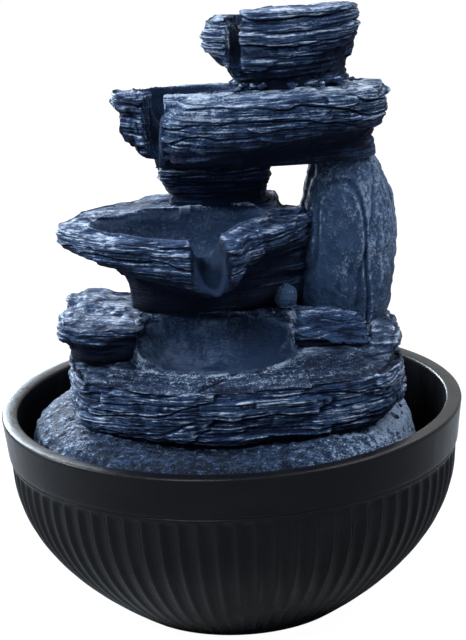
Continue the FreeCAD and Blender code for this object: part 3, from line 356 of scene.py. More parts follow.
def plan_curve(points, width=2.0, depth=2.0, x=0.0, y=0.0, count=900):
    """Closed Catmull-Rom curve through plan points, sized and placed: each stretch is the cubic that leaves
    and meets its end points along the line between their neighbours."""
    p = np.asarray(points, float)
    place = np.arange(count) * len(p) / count
    first = place.astype(int)
    t = (place - first)[:, None]
    a, b, c, d = (p[(first + k) % len(p)] for k in (-1, 0, 1, 2))
    curve = 0.5 * (2 * b + (c - a) * t + (2 * a - 5 * b + 4 * c - d) * t ** 2
                   + (3 * b - a - 3 * c + d) * t ** 3)
    return curve * [width / 2, depth / 2] + [x, y]


def reach(curve, centre, angles):
    """Distance from a centre to a closed curve at the given angles."""
    away = curve - centre
    turn = np.arctan2(away[:, 1], away[:, 0])
    order = np.argsort(turn)
    return np.interp(angles, turn[order], np.hypot(away[:, 0], away[:, 1])[order], period=2 * np.pi)


def inside(curve, centre, x, y):
    """Share of the way from a centre to a closed curve: 0 at the centre and 1 on the curve."""
    dx, dy = x - centre[0], y - centre[1]
    return np.hypot(dx, dy) / reach(curve, np.asarray(centre), np.arctan2(dy, dx))


def even_angles(curve, centre, count):
    """Angles about a centre at which points stand evenly along a closed curve, and the way along it."""
    closed = np.vstack([curve, curve[:1]])
    along = np.concatenate([[0], np.cumsum(np.hypot(*np.diff(closed, axis=0).T))])
    at = np.arange(count) * along[-1] / count
    px, py = (np.interp(at, along, closed[:, k]) for k in (0, 1))
    return np.arctan2(py - centre[1], px - centre[0]), at


def round_values(pairs, angles):
    """Values given at a few compass angles (degrees from +X), read smoothly all the way round."""
    degrees, values = np.array(pairs, float).T
    around = np.radians(np.concatenate([degrees - 360, degrees, degrees + 360]))
    order = np.argsort(around)
    around, values = around[order], np.tile(values, 3)[order]
    turn = np.mod(angles, 2 * np.pi)
    k = np.searchsorted(around, turn) - 1
    t = ramp(0, 1, (turn - around[k]) / (around[k + 1] - around[k]))
    return values[k] + (values[k + 1] - values[k]) * t


print("plan tools ready")

# %% [markdown]
# Every piece is a grid of points that closes on itself sideways, so one function can turn any of them into a
# mesh. A bmesh could be filled face by face, but whole arrays are far quicker at half a million points.

# %% Grids and meshes


def grid_faces(rows, columns):
    """Corner numbers of the quads of a grid that closes on itself sideways."""
    r = np.arange(rows - 1)[:, None] * columns
    c = np.arange(columns)[None, :]
    n = (c + 1) % columns
    return np.stack([r + c, r + n, r + columns + n, r + columns + c], axis=-1).reshape(-1, 4)


def fill_mesh(name, coords, corners, sizes, extra):
    """Put arrays of corners and faces into a new smooth-shaded mesh and object."""
    mesh = bpy.data.meshes.new(name)
    mesh.vertices.add(len(coords))
    mesh.vertices.foreach_set("co", (np.asarray(coords, float) * MM).reshape(-1))
    mesh.loops.add(len(corners))
    mesh.loops.foreach_set("vertex_index", corners.astype(np.int32))
    mesh.polygons.add(len(sizes))
    mesh.polygons.foreach_set("loop_start", np.concatenate([[0], np.cumsum(sizes)[:-1]]).astype(np.int32))
    mesh.polygons.foreach_set("use_smooth", np.ones(len(sizes), bool))
    mesh.update(calc_edges=True)
    mesh.validate()
    for key, value in extra.items():
        mesh.attributes.new(key, "FLOAT", "POINT").data.foreach_set("value", value.astype(np.float32))
    piece = bpy.data.objects.new(name, mesh)
    scene.collection.objects.link(piece)
    return piece


def shell_mesh(name, points, values):
    """Mesh of closed-sideways grids of points (grids, rows, columns, 3) in millimetres, each end row closed
    by a fan to its middle; one grid may come without the first axis. values holds one number per point
    under each attribute's name."""
    if points.ndim == 3:
        points, values = points[None], {key: value[None] for key, value in values.items()}
    grids, rows, columns = points.shape[:3]
    quads = grid_faces(rows, columns)
    around = np.arange(columns)
    ahead = (around + 1) % columns
    base, last = rows * columns, (rows - 1) * columns
    fans = np.concatenate([np.stack([np.full(columns, base), ahead, around], -1),
                           np.stack([np.full(columns, base + 1), last + around, last + ahead], -1)])
    corners = np.concatenate([quads.reshape(-1), fans.reshape(-1)])
    sizes = np.concatenate([np.full(len(quads), 4), np.full(len(fans), 3)])
    first = np.arange(grids)[:, None] * (base + 2)

    def with_ends(value):
        flat = value.reshape(grids, base, -1)
        ends = np.stack([value[:, 0].mean(1), value[:, -1].mean(1)], 1).reshape(grids, 2, -1)
        return np.concatenate([flat, ends], 1)

    extra = {key: with_ends(value).reshape(-1) for key, value in values.items()}
    coords, loops = with_ends(points).reshape(-1, 3), (first + corners).reshape(-1)
    return fill_mesh(name, coords, loops, np.tile(sizes, grids), extra)


def grid_normals(points):
    """Outward direction at each point of a closed-sideways grid: the cross product of its neighbours'
    differences, sideways and along."""
    sideways = np.roll(points, -1, axis=1) - np.roll(points, 1, axis=1)
    out = np.cross(sideways, np.gradient(points, axis=0))
    return out / np.maximum(np.linalg.norm(out, axis=-1, keepdims=True), 1e-9)


def soften(values, times):
    """Average of each value with its four neighbours on the grid, repeated."""
    for _ in range(times):
        up = np.concatenate([values[:1], values[:-1]])
        down = np.concatenate([values[1:], values[-1:]])
        values = (2 * values + np.roll(values, 1, 1) + np.roll(values, -1, 1) + up + down) / 6
    return values


def edge_height(points):
    """How far each point stands out from the average of its surroundings along its outward direction, from
    -1 in a groove to 1 on an edge."""
    away = points - soften(points, 8)
    return np.clip(np.sum(away * grid_normals(points), axis=-1) / 0.4, -1, 1)


print("grid tools ready")

# %% [markdown]
# The wall of every rock gets three sizes of bed, from the thumb-thick ones down to the fine leaves, and the
# basins stay smooth. How far a point stands above its neighbours is kept on the mesh as `ridge`, so the paint
# can later find the edges that a dry brush would touch. The same value carries painted shade, lowered on
# faces that look down, in cracks and over the underside, and each rock's painted highlight and shade from its
# tone.

# %% The rock itself
# Each kind of bed: size as a share of the rock's own, length of a fragment, step out and depth of crease.
BEDS = ((1.0, 46.0, 2.0, 1.6), (0.36, 28.0, 0.85, 0.8), (0.15, 17.0, 0.42, 0.45))
SHEET_DEPTH = 3.2
SWELLING, SMALL_RELIEF, SAND_RELIEF = 2.6, 0.8, 0.55


def rock(name, plan, foot, centre, low, lower, top, seed, worn=None, grit=None, brink=((0, 2.0), (180, 2.0)),
         swell=4.0, bed=11.0, ragged=1.2, dip=(0.0, 0.0), tuck=0.45, carve=None, tone=None,
         counts=(420, 22, 66, 62)):
    """Surface of one casting. Columns go round the plan; rows go from the foot along the underside to the
    lower edge, up the wall to the top surface and over it to the centre. The underside rises as a power of
    the way out (tuck); the wall bulges by the brink, more squarely the higher its power (swell); ragged is
    how far the outline strays from its plan. Points then move along the surface by the steps of three bed
    sizes, tilted by the dip, and by cloud noise, less where worn and not at all at the bearing face. A carve,
    if given, cuts into the wall. Besides the edges, the ridge value holds painted shade: it is lowered on
    faces that look down, in the big bed cracks and over the underside, and a tone, if given, is added to it
    for paler edges, painted highlight and painted shade. The upward share kept on the mesh becomes painted
    highlight on the tops."""
    columns, n_under, n_wall, n_top = counts
    centre = np.asarray(centre, float)
    angles, along = even_angles(plan, centre, columns)
    brink = round_values(brink, angles)
    cos, sin = np.cos(angles), np.sin(angles)
    edge = reach(plan, centre, angles) - brink
    rim_x, rim_y = centre[0] + edge * cos, centre[1] + edge * sin
    edge = edge + ragged * (noise(rim_x / 11, rim_y / 11, 0.3, seed + 70)
                            + 0.6 * noise(rim_x / 5, rim_y / 5, 0.3, seed + 71))
    heel = np.minimum(reach(foot, centre, angles), edge - 0.5)
    above = top(centre[0] + edge * cos, centre[1] + edge * sin)
    below = np.minimum(round_values(lower, angles), above - 3.0)
    q = np.linspace(0, 1, n_under)[:, None]
    u = np.linspace(0, 1, n_wall + 2)[1:-1, None]
    p = np.linspace(1, 0.012, n_top)[:, None]
    bulge = brink * (1 - np.abs(2 * u - 1) ** swell)
    radius = np.vstack([heel + (edge - heel) * q, edge + bulge, edge * p])
    x, y = centre[0] + radius * cos, centre[1] + radius * sin
    z = np.vstack([low + (below - low) * q ** tuck, below + (above - below) * u, top(x[-n_top:], y[-n_top:])])
    points = np.stack([x, y, z], axis=-1)
    normal = grid_normals(points)
    smooth = worn(x, y, z) if worn else np.zeros_like(x)
    sand = grit(x, y, z) if grit else np.zeros_like(x)
    steep = np.clip(1.12 - np.abs(normal[..., 2]), 0.14, 1)
    relief, cracks = 0.0, []
    for kind, (size, length, step, cut) in enumerate(BEDS):
        piece, crack = beds(x, y, z, along + 0 * x, bed * size, length, seed + 10 * kind, dip)
        relief = relief + step * piece - cut * crack
        cracks.append(crack)
    relief = steep * relief - SHEET_DEPTH * (1.0 - steep) * sheets(x, y, 34, seed + 60)
    relief = relief * (1 - 0.96 * smooth) * (1 - 0.8 * sand)
    relief = relief + SWELLING * cloud(x, y, z, 34, seed + 30) * (1 - 0.5 * smooth)
    on_wall, on_top = cloud(x * 0.3, y * 0.3, z * 1.7, 7, seed + 40), cloud(x * 0.5, y, z, 8, seed + 45)
    small = steep * on_wall + (1 - steep) * on_top
    relief = relief + SMALL_RELIEF * small * (1 - 0.75 * smooth)
    relief = relief + SAND_RELIEF * sand * cloud(x, y, z, 2.6, seed + 50, 2)
    relief = relief - carve(x, y, z) if carve else relief
    hold = np.ones_like(x)
    hold[:n_under] = ramp(0.0, 0.2, q)
    relief = relief * hold
    # Painted shade: faces that look down are darkened, and on the next line so are the big bed cracks.
    ridge = 0.3 * np.clip((relief - soften(relief, 16)) / 0.7, -1, 1) - 0.9 * ramp(0.1, -0.5, normal[..., 2])
    ridge = ridge - 0.5 * steep * cracks[0] * (1 - smooth)
    ridge = ridge + tone(x, y, z) if tone else ridge
    # Painted shade over the underside, most towards the foot.
    ridge[:n_under] -= 0.7 * ramp(1.0, 0.75, q)
    points = points + normal * relief[..., None]
    ridge = ridge + 0.65 * edge_height(points)
    # Upward share of the surface, which the slate paint turns into painted highlight on the tops.
    upward = np.clip(grid_normals(points)[..., 2], 0, 1) * (1 - smooth)
    return shell_mesh(name, points, {"ridge": ridge, "worn": smooth, "grit": sand, "upward": upward})


def dress(piece, node, material, body="rock_cascade"):
    """Give a piece its body, the node that it stands for and its finish."""
    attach(piece, body)
    if node:
        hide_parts(node)
    piece.data.materials.append(material)
    print(piece.name, "faces", len(piece.data.polygons))
    return piece


# %% [markdown]
# Basins and spouts repeat too: each is a height over the plan, and the lowest of the heights wins.

# %% Hollows and channels
NO_FLOOR = 400.0


def scoop(share, rim, depth, power):
    """Hollow: a flat floor, a wall that steepens up to the rim at share 1, and a steep rise beyond it."""
    return rim - depth * np.clip(1 - share ** power, 0, 1) ** 0.85 + 60 * np.clip(share - 1, 0, 1)


def channel(x, y, middle, floor, rise, half, power, start):
    """Spout: a U across its middle line, that rises so far at half its width; none of it behind its start."""
    return np.where(y < start, floor + rise * np.abs((x - middle) / half) ** power, NO_FLOOR)


print("rock tools ready")

# %% [markdown]
# ## Paint groups
# The castings are sprayed dark slate blue, then a nearly dry brush of pale grey is dragged over them, which
# leaves paint only on the edges. Node groups do the brush work and the mottling of the worn stones, and each
# material keeps its own shader. A plain noise colour would miss the link between paint and shape, so the
# brush reads the ridge value that each rock keeps.

# %% Paint tools
PAINT_OUTPUTS = {"Color": "Color", "Roughness": "Float", "Height": "Float"}


def new_group(name, numbers, colours=()):
    """Empty paint group with the named inputs; returns its nodes and the list of its input sockets."""
    group = bpy.data.node_groups.new(name, "ShaderNodeTree")
    for label in numbers + colours:
        kind = "NodeSocketColor" if label in colours else "NodeSocketFloat"
        group.interface.new_socket(label, in_out="INPUT", socket_type=kind)
    for label, kind in PAINT_OUTPUTS.items():
        group.interface.new_socket(label, in_out="OUTPUT", socket_type="NodeSocket" + kind)
    given = group.nodes.new("NodeGroupInput").outputs
    return Nodes(group), [given[label] for label in numbers + colours]


def end_group(nodes, **results):
    """Send the results to the group's outputs; returns the group."""
    nodes.wire(nodes.tree.nodes.new("NodeGroupOutput"), **results)
    return nodes.tree


def painted(name, group, specular, depth, strength, **values):
    """Material fed by a paint group: an input without a value here reads the mesh's attribute of its name."""
    material, nodes, shader = new_material(name, Specular_IOR_Level=specular)
    paint = nodes.add("Group", node_tree=group)
    for socket in paint.inputs:
        known = socket.name in values
        nodes.feed(socket, values[socket.name] if known else nodes.attribute(socket.name.lower()))
    nodes.wire(shader, Base_Color=paint.outputs["Color"], Roughness=paint.outputs["Roughness"])
    nodes.bump(shader, paint.outputs["Height"], depth, strength)
    return material


print("paint tools ready")

# %% [markdown]
# ## Slate paint
# The brush itself: stretched noise stands for the leaves of slate, fine noise for the tooth of the paint, and
# their sum with the ridge value decides where the pale paint takes. The basins get a thin scratched film. The
# tops are painted paler and their highest edges get a near-white glint, as painted highlight; creases go
# near-black, as painted shade.

# %% Slate paint


def make_dry_brush():
    """Paint from the ridge value: near-black painted shade in the creases and wherever the ridge value holds
    shade, body colour on the flats, pale paint dragged over the edges along the sheets, paler flecks on the
    tops and a near-white glint on their highest edges as painted highlight, and a scratchy film in the worn
    basins."""
    n, given = new_group("dry_brush", ("Ridge", "Worn", "Grit", "Upward", "Load"), ("Body", "Deep", "Pale"))
    ridge, worn, grit, upward, load, body, deep, pale = given
    broken = n.math("SUBTRACT", 1.0, worn)
    leaf = n.times(n.noise(150.0, (0.15, 0.15, 4.6), 5.0, 0.62, 0.35), broken)
    line = n.times(n.noise(330.0, (0.15, 0.15, 3.6), 4.0, 0.6, 0.35), broken)
    tooth = n.noise(620.0, (0.7, 1, 1), 5.0, 0.7)
    scrape = n.noise(300.0, (0.25, 1, 1), 5.0, 0.65)
    patch = n.noise(34.0, (1, 1, 1.6), 4.0, 0.55)
    streak = n.times(patch, broken)
    speck = n.times(n.noise(900.0, (1, 1, 1), 3.0, 0.6), grit)
    stroke = n.math("ABSOLUTE", n.noise(130.0, (1, 1, 0.4), 3.0, 0.6, 1.2))
    etched = n.times(n.curve(stroke, 0.035, 0.0), n.curve(tooth, -0.15, 0.12))
    # Tops without sand: below they are painted paler, as painted highlight.
    flat = n.times(upward, n.math("SUBTRACT", 1.0, grit))
    flecks = n.times(n.blend((scrape, 3.4), (tooth, 1.2)), flat)
    edge = n.blend((ridge, 0.75), (leaf, 2.6), (line, 3.0), (tooth, 1.5), (streak, 1.9), (speck, 4.5),
                   (flecks, 1.0), (flat, 0.3))
    colour = n.mix(n.curve(streak, -0.2, 0.15), deep, body)
    colour = n.mix(n.curve(edge, -0.6, 0.2), colour, body)
    # Painted shade: near-black where the ridge value runs low.
    colour = n.mix(n.curve(edge, 0.05, -0.6), colour, deep)
    colour = n.mix(n.times(n.curve(edge, 0.36, 1.1), load), colour, pale)
    film = n.blend((etched, 0.55), (patch, 1.6), (tooth, 1.3), (ridge, 0.6))
    film = n.mix(n.curve(film, -0.42, 0.75), (0.005, 0.015, 0.04), (0.065, 0.095, 0.16))
    colour = n.mix(n.times(worn, 0.9), colour, film)
    # Painted highlight: a near-white glint on the highest edges of the tops.
    painted_glint = n.times(n.curve(edge, 1.0, 1.9), n.curve(flat, 0.2, 0.8))
    colour = n.mix(painted_glint, colour, (0.62, 0.7, 0.8))
    height = n.blend((leaf, 1.0), (line, 0.8), (tooth, 1.1), (speck, 1.6), (etched, 0.3))
    return end_group(n, Color=colour, Roughness=n.curve(edge, -0.8, 1.0, 0.66, 0.45), Height=height)


DRY_BRUSH = make_dry_brush()


def slate_paint(name, body, deep, pale, load):
    """Slate material: satin paint from the dry brush, with its height as a fine bump."""
    return painted(name, DRY_BRUSH, 0.1, 0.003, 0.8, Load=load, Body=body, Deep=deep, Pale=pale)


# Deep is the colour of the dark mottling and of the painted shade.
SLATE = slate_paint("slate_paint", (0.021, 0.044, 0.1), (0.0016, 0.0052, 0.019), (0.3, 0.36, 0.46), 0.9)
SANDY_SLATE = slate_paint("sandy_slate_paint", (0.024, 0.042, 0.083), (0.002, 0.0055, 0.018),
                          (0.25, 0.31, 0.4), 0.9)
# Painted shade: a darker copy of the slate paint, with less pale paint, for the neck under the upper slab.
SLATE_IN_PAINTED_SHADE = slate_paint("slate_in_painted_shade", (0.009, 0.022, 0.062), (0.0014, 0.005, 0.02),
                           (0.14, 0.19, 0.28), 0.6)
print("slate paints made")

# %% [markdown]
# ## Base slab
# The widest rock: a thick slab with an undercut foot, on which all the others stand. A cube with a
# displacement texture would be quicker, but plan and lower edge keep the undercut where it is seen.

# %% Base slab
BASE_TOP, SLAB_FOOT = 166.0, 126.0
SLAB_PLAN = [(-98, -12), (-96, -38), (-84, -58), (-52, -77), (-18, -88), (30, -85), (82, -74),
             (103, -50), (108, -20), (104, 20), (88, 56), (40, 76), (-15, 78), (-65, 66), (-92, 30)]
base_plan = plan_curve(SLAB_PLAN)
base_foot = plan_curve(SLAB_PLAN, 1.74, 1.74, 1, -1)
base = rock("base_slab_rock", base_plan, base_foot, (5, -4), SLAB_FOOT,
            [(0, 143), (45, 136), (90, 134), (135, 134), (180, 138), (215, 134), (270, 133), (300, 134),
             (335, 140)],
            lambda x, y: BASE_TOP + 0 * x, 11, bed=11.0, dip=(-0.03, 0.0), tuck=0.7, counts=(560, 16, 72, 10))
dress(base, "base_slab", SLATE)

# %% [markdown]
# ## Shelf and lower pool
# On the slab lies a shelf whose front slopes as a sandy apron and whose back steps up round the lower pool.
# The pool could be cut with a boolean, but as a height over the plan it stays one clean surface that is fine
# enough for its scooped wall.

# %% Shelf and lower pool
SHELF_TOP, STEP_TOP, POOL_FLOOR = 176.0, 198.0, 168.0
shelf_plan = plan_curve(SLAB_PLAN, 1.97, 1.98, -2, 0)
SHELF_CENTRE = (0.0, -8.0)
step_plan = plan_curve([(-60, 20), (-62, -22), (-58, -46), (-48, -54), (-20, -50), (14, -48), (32, -44),
                        (41, -36), (44, -8), (40, 20), (22, 52), (-20, 56), (-50, 45)])
pool_plan = plan_curve([(-54, -42), (-49, -58), (-30, -68), (-4, -72), (22, -69), (37, -58), (41, -45),
                        (34, -33), (20, -29), (2, -21), (-14, -22), (-30, -17), (-47, -25)])
pool_share = partial(inside, pool_plan, (-7.0, -45.0))
step_share = partial(inside, step_plan, (0.0, 5.0))


def shelf_height(x, y):
    """Shelf that falls as an apron to its front edge, step at the back, and the pool scooped out of both: a
    flat floor whose wall steepens up to the pool's outline."""
    front = ramp(-18, -52, y)
    apron = SHELF_TOP - 9.0 * front * ramp(0.68, 1.0, inside(shelf_plan, SHELF_CENTRE, x, y))
    apron = apron + 1.6 * noise(x / 26, y / 20, 0.5, 61) * (1 - 0.6 * front)
    ragged = 2.2 * noise(x / 9, y / 9, 0.7, 63) + 1.2 * noise(x / 4, y / 4, 0.7, 65)
    lean = 0.22 * np.maximum(0, x - 34) + 0.12 * np.maximum(0, -46 - x)
    on_step = ramp(1.06, 0.92, step_share(x, y) + 0.012 * ragged)
    step = apron + (STEP_TOP - SHELF_TOP - lean + ragged * ramp(-14, -24, y)) * on_step
    ear = ramp(82, 92, x) * ramp(-56, -40, y) * (5 + 2.5 * noise(x / 7, y / 7, 0.3, 67))
    groove = np.exp(-((y + 66 + 0.62 * (10 - x)) / 1.5) ** 2) * ramp(15, 9, x) * ramp(-24, -14, x)
    e = pool_share(x, y) + 0.05 * noise(x / 10, y / 10, 0.4, 68) + 0.03 * noise(x / 4, y / 4, 0.4, 69)
    edge = 175 + 22 * ramp(-64, -30, y)
    pool = POOL_FLOOR + (edge - POOL_FLOOR) * np.minimum(e, 1.3) ** 3.2
    return np.minimum(step + ear - 1.8 * groove, np.where(e < 1.25, pool, NO_FLOOR))


def pool_worn(x, y, z):
    """Smooth inside the pool's outline."""
    return ramp(1.0, 0.93, pool_share(x, y)) * (z > 167.0)


def pool_tone(x, y, z):
    """Pale along the pool's outline, more at the front; painted shade inside it, most at the right where the
    wall overhangs.
    """
    e = pool_share(x, y)
    edge = (0.2 + 0.6 * ramp(-46, -58, y)) * np.exp(-((e - 1.04) / 0.045) ** 2)
    # Painted shade inside the pool, most at the right.
    return edge - (0.2 + 0.9 * ramp(-8, 30, x)) * ramp(1.0, 0.9, e)


def apron_grit(x, y, z):
    """Sand on the apron in front of the pool."""
    return ramp(-44, -56, y) * ramp(0.72, 0.95, pool_share(x, y)) * ramp(164, 167, z)


shelf = rock("pool_rock_shelf", shelf_plan, shelf_plan * 0.98, SHELF_CENTRE, BASE_TOP,
             [(0, BASE_TOP + 1), (180, BASE_TOP + 1)], shelf_height, 17, worn=pool_worn, grit=apron_grit,
             tone=pool_tone, bed=8.0, counts=(520, 5, 16, 150))
dress(shelf, "pool_rock", SANDY_SLATE)

# %% [markdown]
# ## Ledges
# Two broken ledges flank the pool. They are the same kind of casting at a smaller size, so the same function
# draws them; the left one is an overhanging plate on a recessed foot.

# %% Ledges
left_plan = plan_curve([(-100, -4), (-101, -30), (-96, -47), (-72, -50), (-56, -51), (-53, -40),
                        (-50, -20), (-52, 18), (-60, 38), (-84, 40), (-97, 24)])
left_foot = plan_curve([(-96, -4), (-97, -30), (-89, -43), (-70, -45), (-56, -40), (-52, -20), (-54, 16),
                        (-62, 34), (-82, 36), (-93, 22)])


def left_height(x, y):
    """Plate that falls a little to the right, with two sizes of dent."""
    return 199 - 0.06 * (x + 96) + 1.8 * noise(x / 16, y / 16, 0.2, 71) + 0.9 * noise(x / 6, y / 9, 0.2, 72)


left = rock("left_ledge", left_plan, left_foot, (-76, -6), SHELF_TOP,
            [(0, 186), (90, 186), (180, 184), (205, 190), (222, 184), (245, 190), (268, 187), (290, 191),
             (325, 188)],
            left_height, 29, ragged=2.6, tuck=0.3, bed=8.0, dip=(0.1, 0.0), counts=(400, 22, 44, 44))
dress(left, "left_ledge_rock", SLATE)
right_plan = plan_curve([(36, -14), (37, -27), (40, -36), (48, -38), (63, -38), (78, -36), (85, -31),
                         (84, -18), (76, -10), (56, -8)])
right_foot = plan_curve([(38, -15), (39, -26), (43, -34), (62, -34), (76, -32), (81, -27), (80, -18),
                         (74, -12), (56, -10)])


def right_height(x, y):
    """Plate that falls to the right and to the front, with low steps across it."""
    return 197 - 0.22 * (x - 42) + 0.5 * np.minimum(0, y + 14) + 2.2 * noise(x / 22, y / 9, 0.3, 73)


def right_painted_shade(x, y, z):
    """A little darker all over, with painted shade on its left face, which is the pool's right wall."""
    return -0.2 - 0.9 * ramp(47, 40, x)


right = rock("right_ledge", right_plan, right_foot, (62, -27), SHELF_TOP, [(0, 177.5), (180, 180)],
             right_height, 31, tone=right_painted_shade, bed=6.0, ragged=2.0, dip=(0.25, 0.1),
             counts=(340, 8, 36, 40))
dress(right, "right_ledge_rock", SLATE)

# %% [markdown]
# ## Middle basin
# A shell-like scoop with a pointed left end and a deep pouring lip. Its rim falls a little to the front, the
# hollow's wall is steep at the rim and flat at its floor, and the lip is a trough that deepens as it leaves.
# It could be half a ball pulled into shape, but heights over a plan let the lip cut through the rim anywhere.

# %% Middle basin
mid_plan = plan_curve([(-101, -28), (-83, -48), (-52, -63), (-25, -70), (-11, -76), (-3, -80), (6, -74),
                       (17, -56), (30, -40), (44, -18), (55, 4), (50, 26), (12, 38), (-40, 34), (-76, 8),
                       (-94, -12)])
mid_foot = plan_curve([(-58, 0), (-50, -17), (-22, -26), (8, -22), (32, -12), (52, 4), (46, 24), (8, 36),
                       (-40, 31)])
hollow_plan = plan_curve([(-82, -28), (-58, -48), (-33, -59), (-13, -64), (2, -54), (12, -36), (29, -15),
                          (14, -6), (-28, -6), (-57, -12)])
hollow_share = partial(inside, hollow_plan, (-26.0, -31.0))
MID_TOP, MID_RIM, LIP_FRONT = 260.0, 260.5, 222


def lip_floor(x, y):
    """Trough of the pouring lip: a U across, steeper on its right, whose floor falls towards the front."""
    middle = -8 - 0.12 * (y + 60)
    half = np.where(x < middle, 13.0, 8.0)
    return channel(x, y, middle, 226 + 0.3 * (y + 78), 24, half, 2.6, -34)


def mid_height(x, y):
    """Rim that falls to the front and the right, lowered to the hollow and to the lip."""
    rim = MID_RIM - 0.13 * np.maximum(0, -10 - y) - 7 * ramp(6, 42, x) * ramp(0, -14, y)
    rim = rim + 1.3 * noise(x / 15, y / 15, 0.1, 81) - 10 * ramp(33, 39, x) * ramp(-6, 4, y)
    bowl = scoop(hollow_share(x, y), MID_RIM, 25, 2.8)
    return np.minimum(np.minimum(rim, bowl), lip_floor(x, y))


def mid_worn(x, y, z):
    """Smooth in the hollow and down the lip."""
    lip = ramp(0, 6, 250 - lip_floor(x, y)) * ramp(-34, -38, y)
    return np.maximum(ramp(1.02, 0.93, hollow_share(x, y)), lip) * (z > LIP_FRONT)


def mid_tone(x, y, z):
    """Pale along the rim of the hollow and painted shade down the lip; a little darker all over, with painted
    highlight over the upper part of the left end.
    """
    pale = 0.7 * np.exp(-((hollow_share(x, y) - 1.02) / 0.035) ** 2)
    lip_painted_shade = ramp(0, 6, 258 - lip_floor(x, y)) * ramp(-40, -48, y)
    return (pale - 1.5 * lip_painted_shade) * (z > LIP_FRONT) - 0.2 + 0.6 * ramp(-44, -80, x) * ramp(248, 253, z)


mid = rock("mid_basin_shell", mid_plan, mid_foot, (-24, -20), STEP_TOP,
           [(0, 236), (45, 226), (90, 220), (140, 228), (180, 245), (200, 241), (220, 235), (250, 230),
            (284, 224), (297, 226), (312, 233), (335, 238)],
           mid_height, 37, worn=mid_worn, tone=mid_tone, bed=8.0, dip=(0.06, 0.0), tuck=0.5,
           counts=(480, 26, 50, 84))
dress(mid, "mid_basin", SLATE)

# %% [markdown]
# ## Neck
# A dark layered stub carries the upper slab. It stands in shade, so one plan at two sizes is enough for it; a
# drawing as full as the basin's would not be seen. Its paint is a darker copy of the slate paint: painted
# shade.

# %% Neck
NECK_TOP = 285.0
BLOCK_PLAN = [(-1.0, 0.0), (-0.9, -0.8), (-0.2, -1.0), (0.55, -0.94), (0.96, -0.62), (1.0, 0.2),
              (0.8, 0.85), (0.1, 1.0), (-0.75, 0.9)]
neck_plan = plan_curve(BLOCK_PLAN, 70, 46, -3, 14)
neck_foot = plan_curve(BLOCK_PLAN, 64, 42, 0, 15)
neck = rock("neck_layers", neck_plan, neck_foot, (0, 14), MID_TOP, [(0, 272), (180, 276), (270, 273)],
            lambda x, y: NECK_TOP + 0 * x, 41, bed=7.0, tuck=1.0, counts=(380, 18, 26, 10))
dress(neck, "neck_rock", SLATE_IN_PAINTED_SHADE)

# %% [markdown]
# ## Upper slab
# A long log-like layer in front, a trough behind it and a tall open spout at the left, where the water leaves
# for the middle basin. The left block stands beyond the spout, a little further back than the log. It could
# be three stones pushed together, but as one surface its layers run through from the block to the log.

# %% Upper slab
upper_plan = plan_curve([(-64, -4), (-63, -17), (-55, -23), (-46, -25), (-37, -24), (-34, -38),
                         (-25, -49), (0, -54), (30, -52), (60, -47), (86, -37), (101, -22), (105, -4),
                         (98, 14), (80, 29), (50, 37), (10, 38), (-25, 36), (-50, 24), (-61, 10)])
upper_foot = plan_curve([(-38, 10), (-36, -4), (-10, -12), (40, -14), (80, -8), (96, 6), (90, 24),
                         (50, 35), (0, 36), (-28, 30)])
trough_plan = plan_curve([(-50, 0), (-46, -14), (-32, -25), (-8, -27), (12, -22), (14, -4), (2, 12),
                          (-22, 16), (-44, 12)])
trough_share = partial(inside, trough_plan, (-18.0, -6.0))


def spout_floor(x, y):
    """Tall spout: a narrow U across its slanting line, falling to the front."""
    middle = -30 + 0.36 * (y + 8)
    return channel(x, y, middle, 290 + 0.7 * (y + 36), 40, 7.0, 4, -4)


def upper_height(x, y):
    """Top of the log and of the back rim, lowered to the trough and the spout."""
    log = 335 - 0.05 * np.maximum(x - 60, 0) + 1.6 * noise(x / 24, y / 11, 0.4, 91)
    log = log - (0.2 + 0.12 * ramp(-36, -46, x)) * np.maximum(0, y - 2)
    nose = ramp(-12, -34, x) * ramp(-26, -34, y)
    log = log - 9 * nose - 0.006 * np.maximum(0, -30 - y) ** 2
    pit = scoop(trough_share(x, y), 336, 24, 4)
    return np.minimum(np.minimum(log, pit), spout_floor(x, y))


def upper_worn(x, y, z):
    """Smooth in the trough and down the spout."""
    spout = ramp(0, 8, 325 - spout_floor(x, y)) * ramp(-4, -8, y)
    return np.maximum(ramp(1.02, 0.93, trough_share(x, y)), spout) * (z > 288)


def upper_tone(x, y, z):
    """Painted shade all through the trough and the spout, darker on the left block, and painted light along
    the log, most over the top of its left part.
    """
    log = ramp(-40, -32, x) * (0.15 + 0.3 * ramp(40, -10, x) * ramp(326, 332, z))
    return log - 0.3 * ramp(-38, -46, x) - 0.9 * upper_worn(x, y, z)


def log_grit(x, y, z):
    """Some sand on the left end of the log's top."""
    return 0.5 * ramp(-40, -28, x) * ramp(30, 2, x) * ramp(-22, -27, y) * ramp(318, 328, z)


def block_step(x, y, z):
    """The left block stands back below its top layer."""
    return 5.0 * ramp(328, 321, z) * ramp(-46, -54, x)


upper = rock("upper_slab_log", upper_plan, upper_foot, (14, -6), NECK_TOP,
             [(0, 308), (40, 302), (90, 300), (150, 304), (180, 312), (188, 305), (194, 301), (198, 296),
              (200, 290), (206, 291), (216, 297), (228, 297), (245, 299), (270, 303), (300, 308),
              (335, 309)],
             upper_height, 44, worn=upper_worn, grit=log_grit, swell=2.6, bed=9.0, dip=(0.06, 0.05), tuck=0.5,
             tone=upper_tone, brink=[(0, 4), (90, 3), (170, 1.5), (203, 1.5), (214, 4)],
             carve=block_step, counts=(540, 22, 64, 76))
dress(upper, "upper_slab", SLATE)

# %% [markdown]
# ## Crown rock
# Two lumps with a spout between them: the hose ends in a round spring on top and the water runs out through
# the slit. The collar and the hose's end stay visible in the spring. A cylinder could cut the well, but as a
# height its wall can lean, and the slit runs into it without a seam.

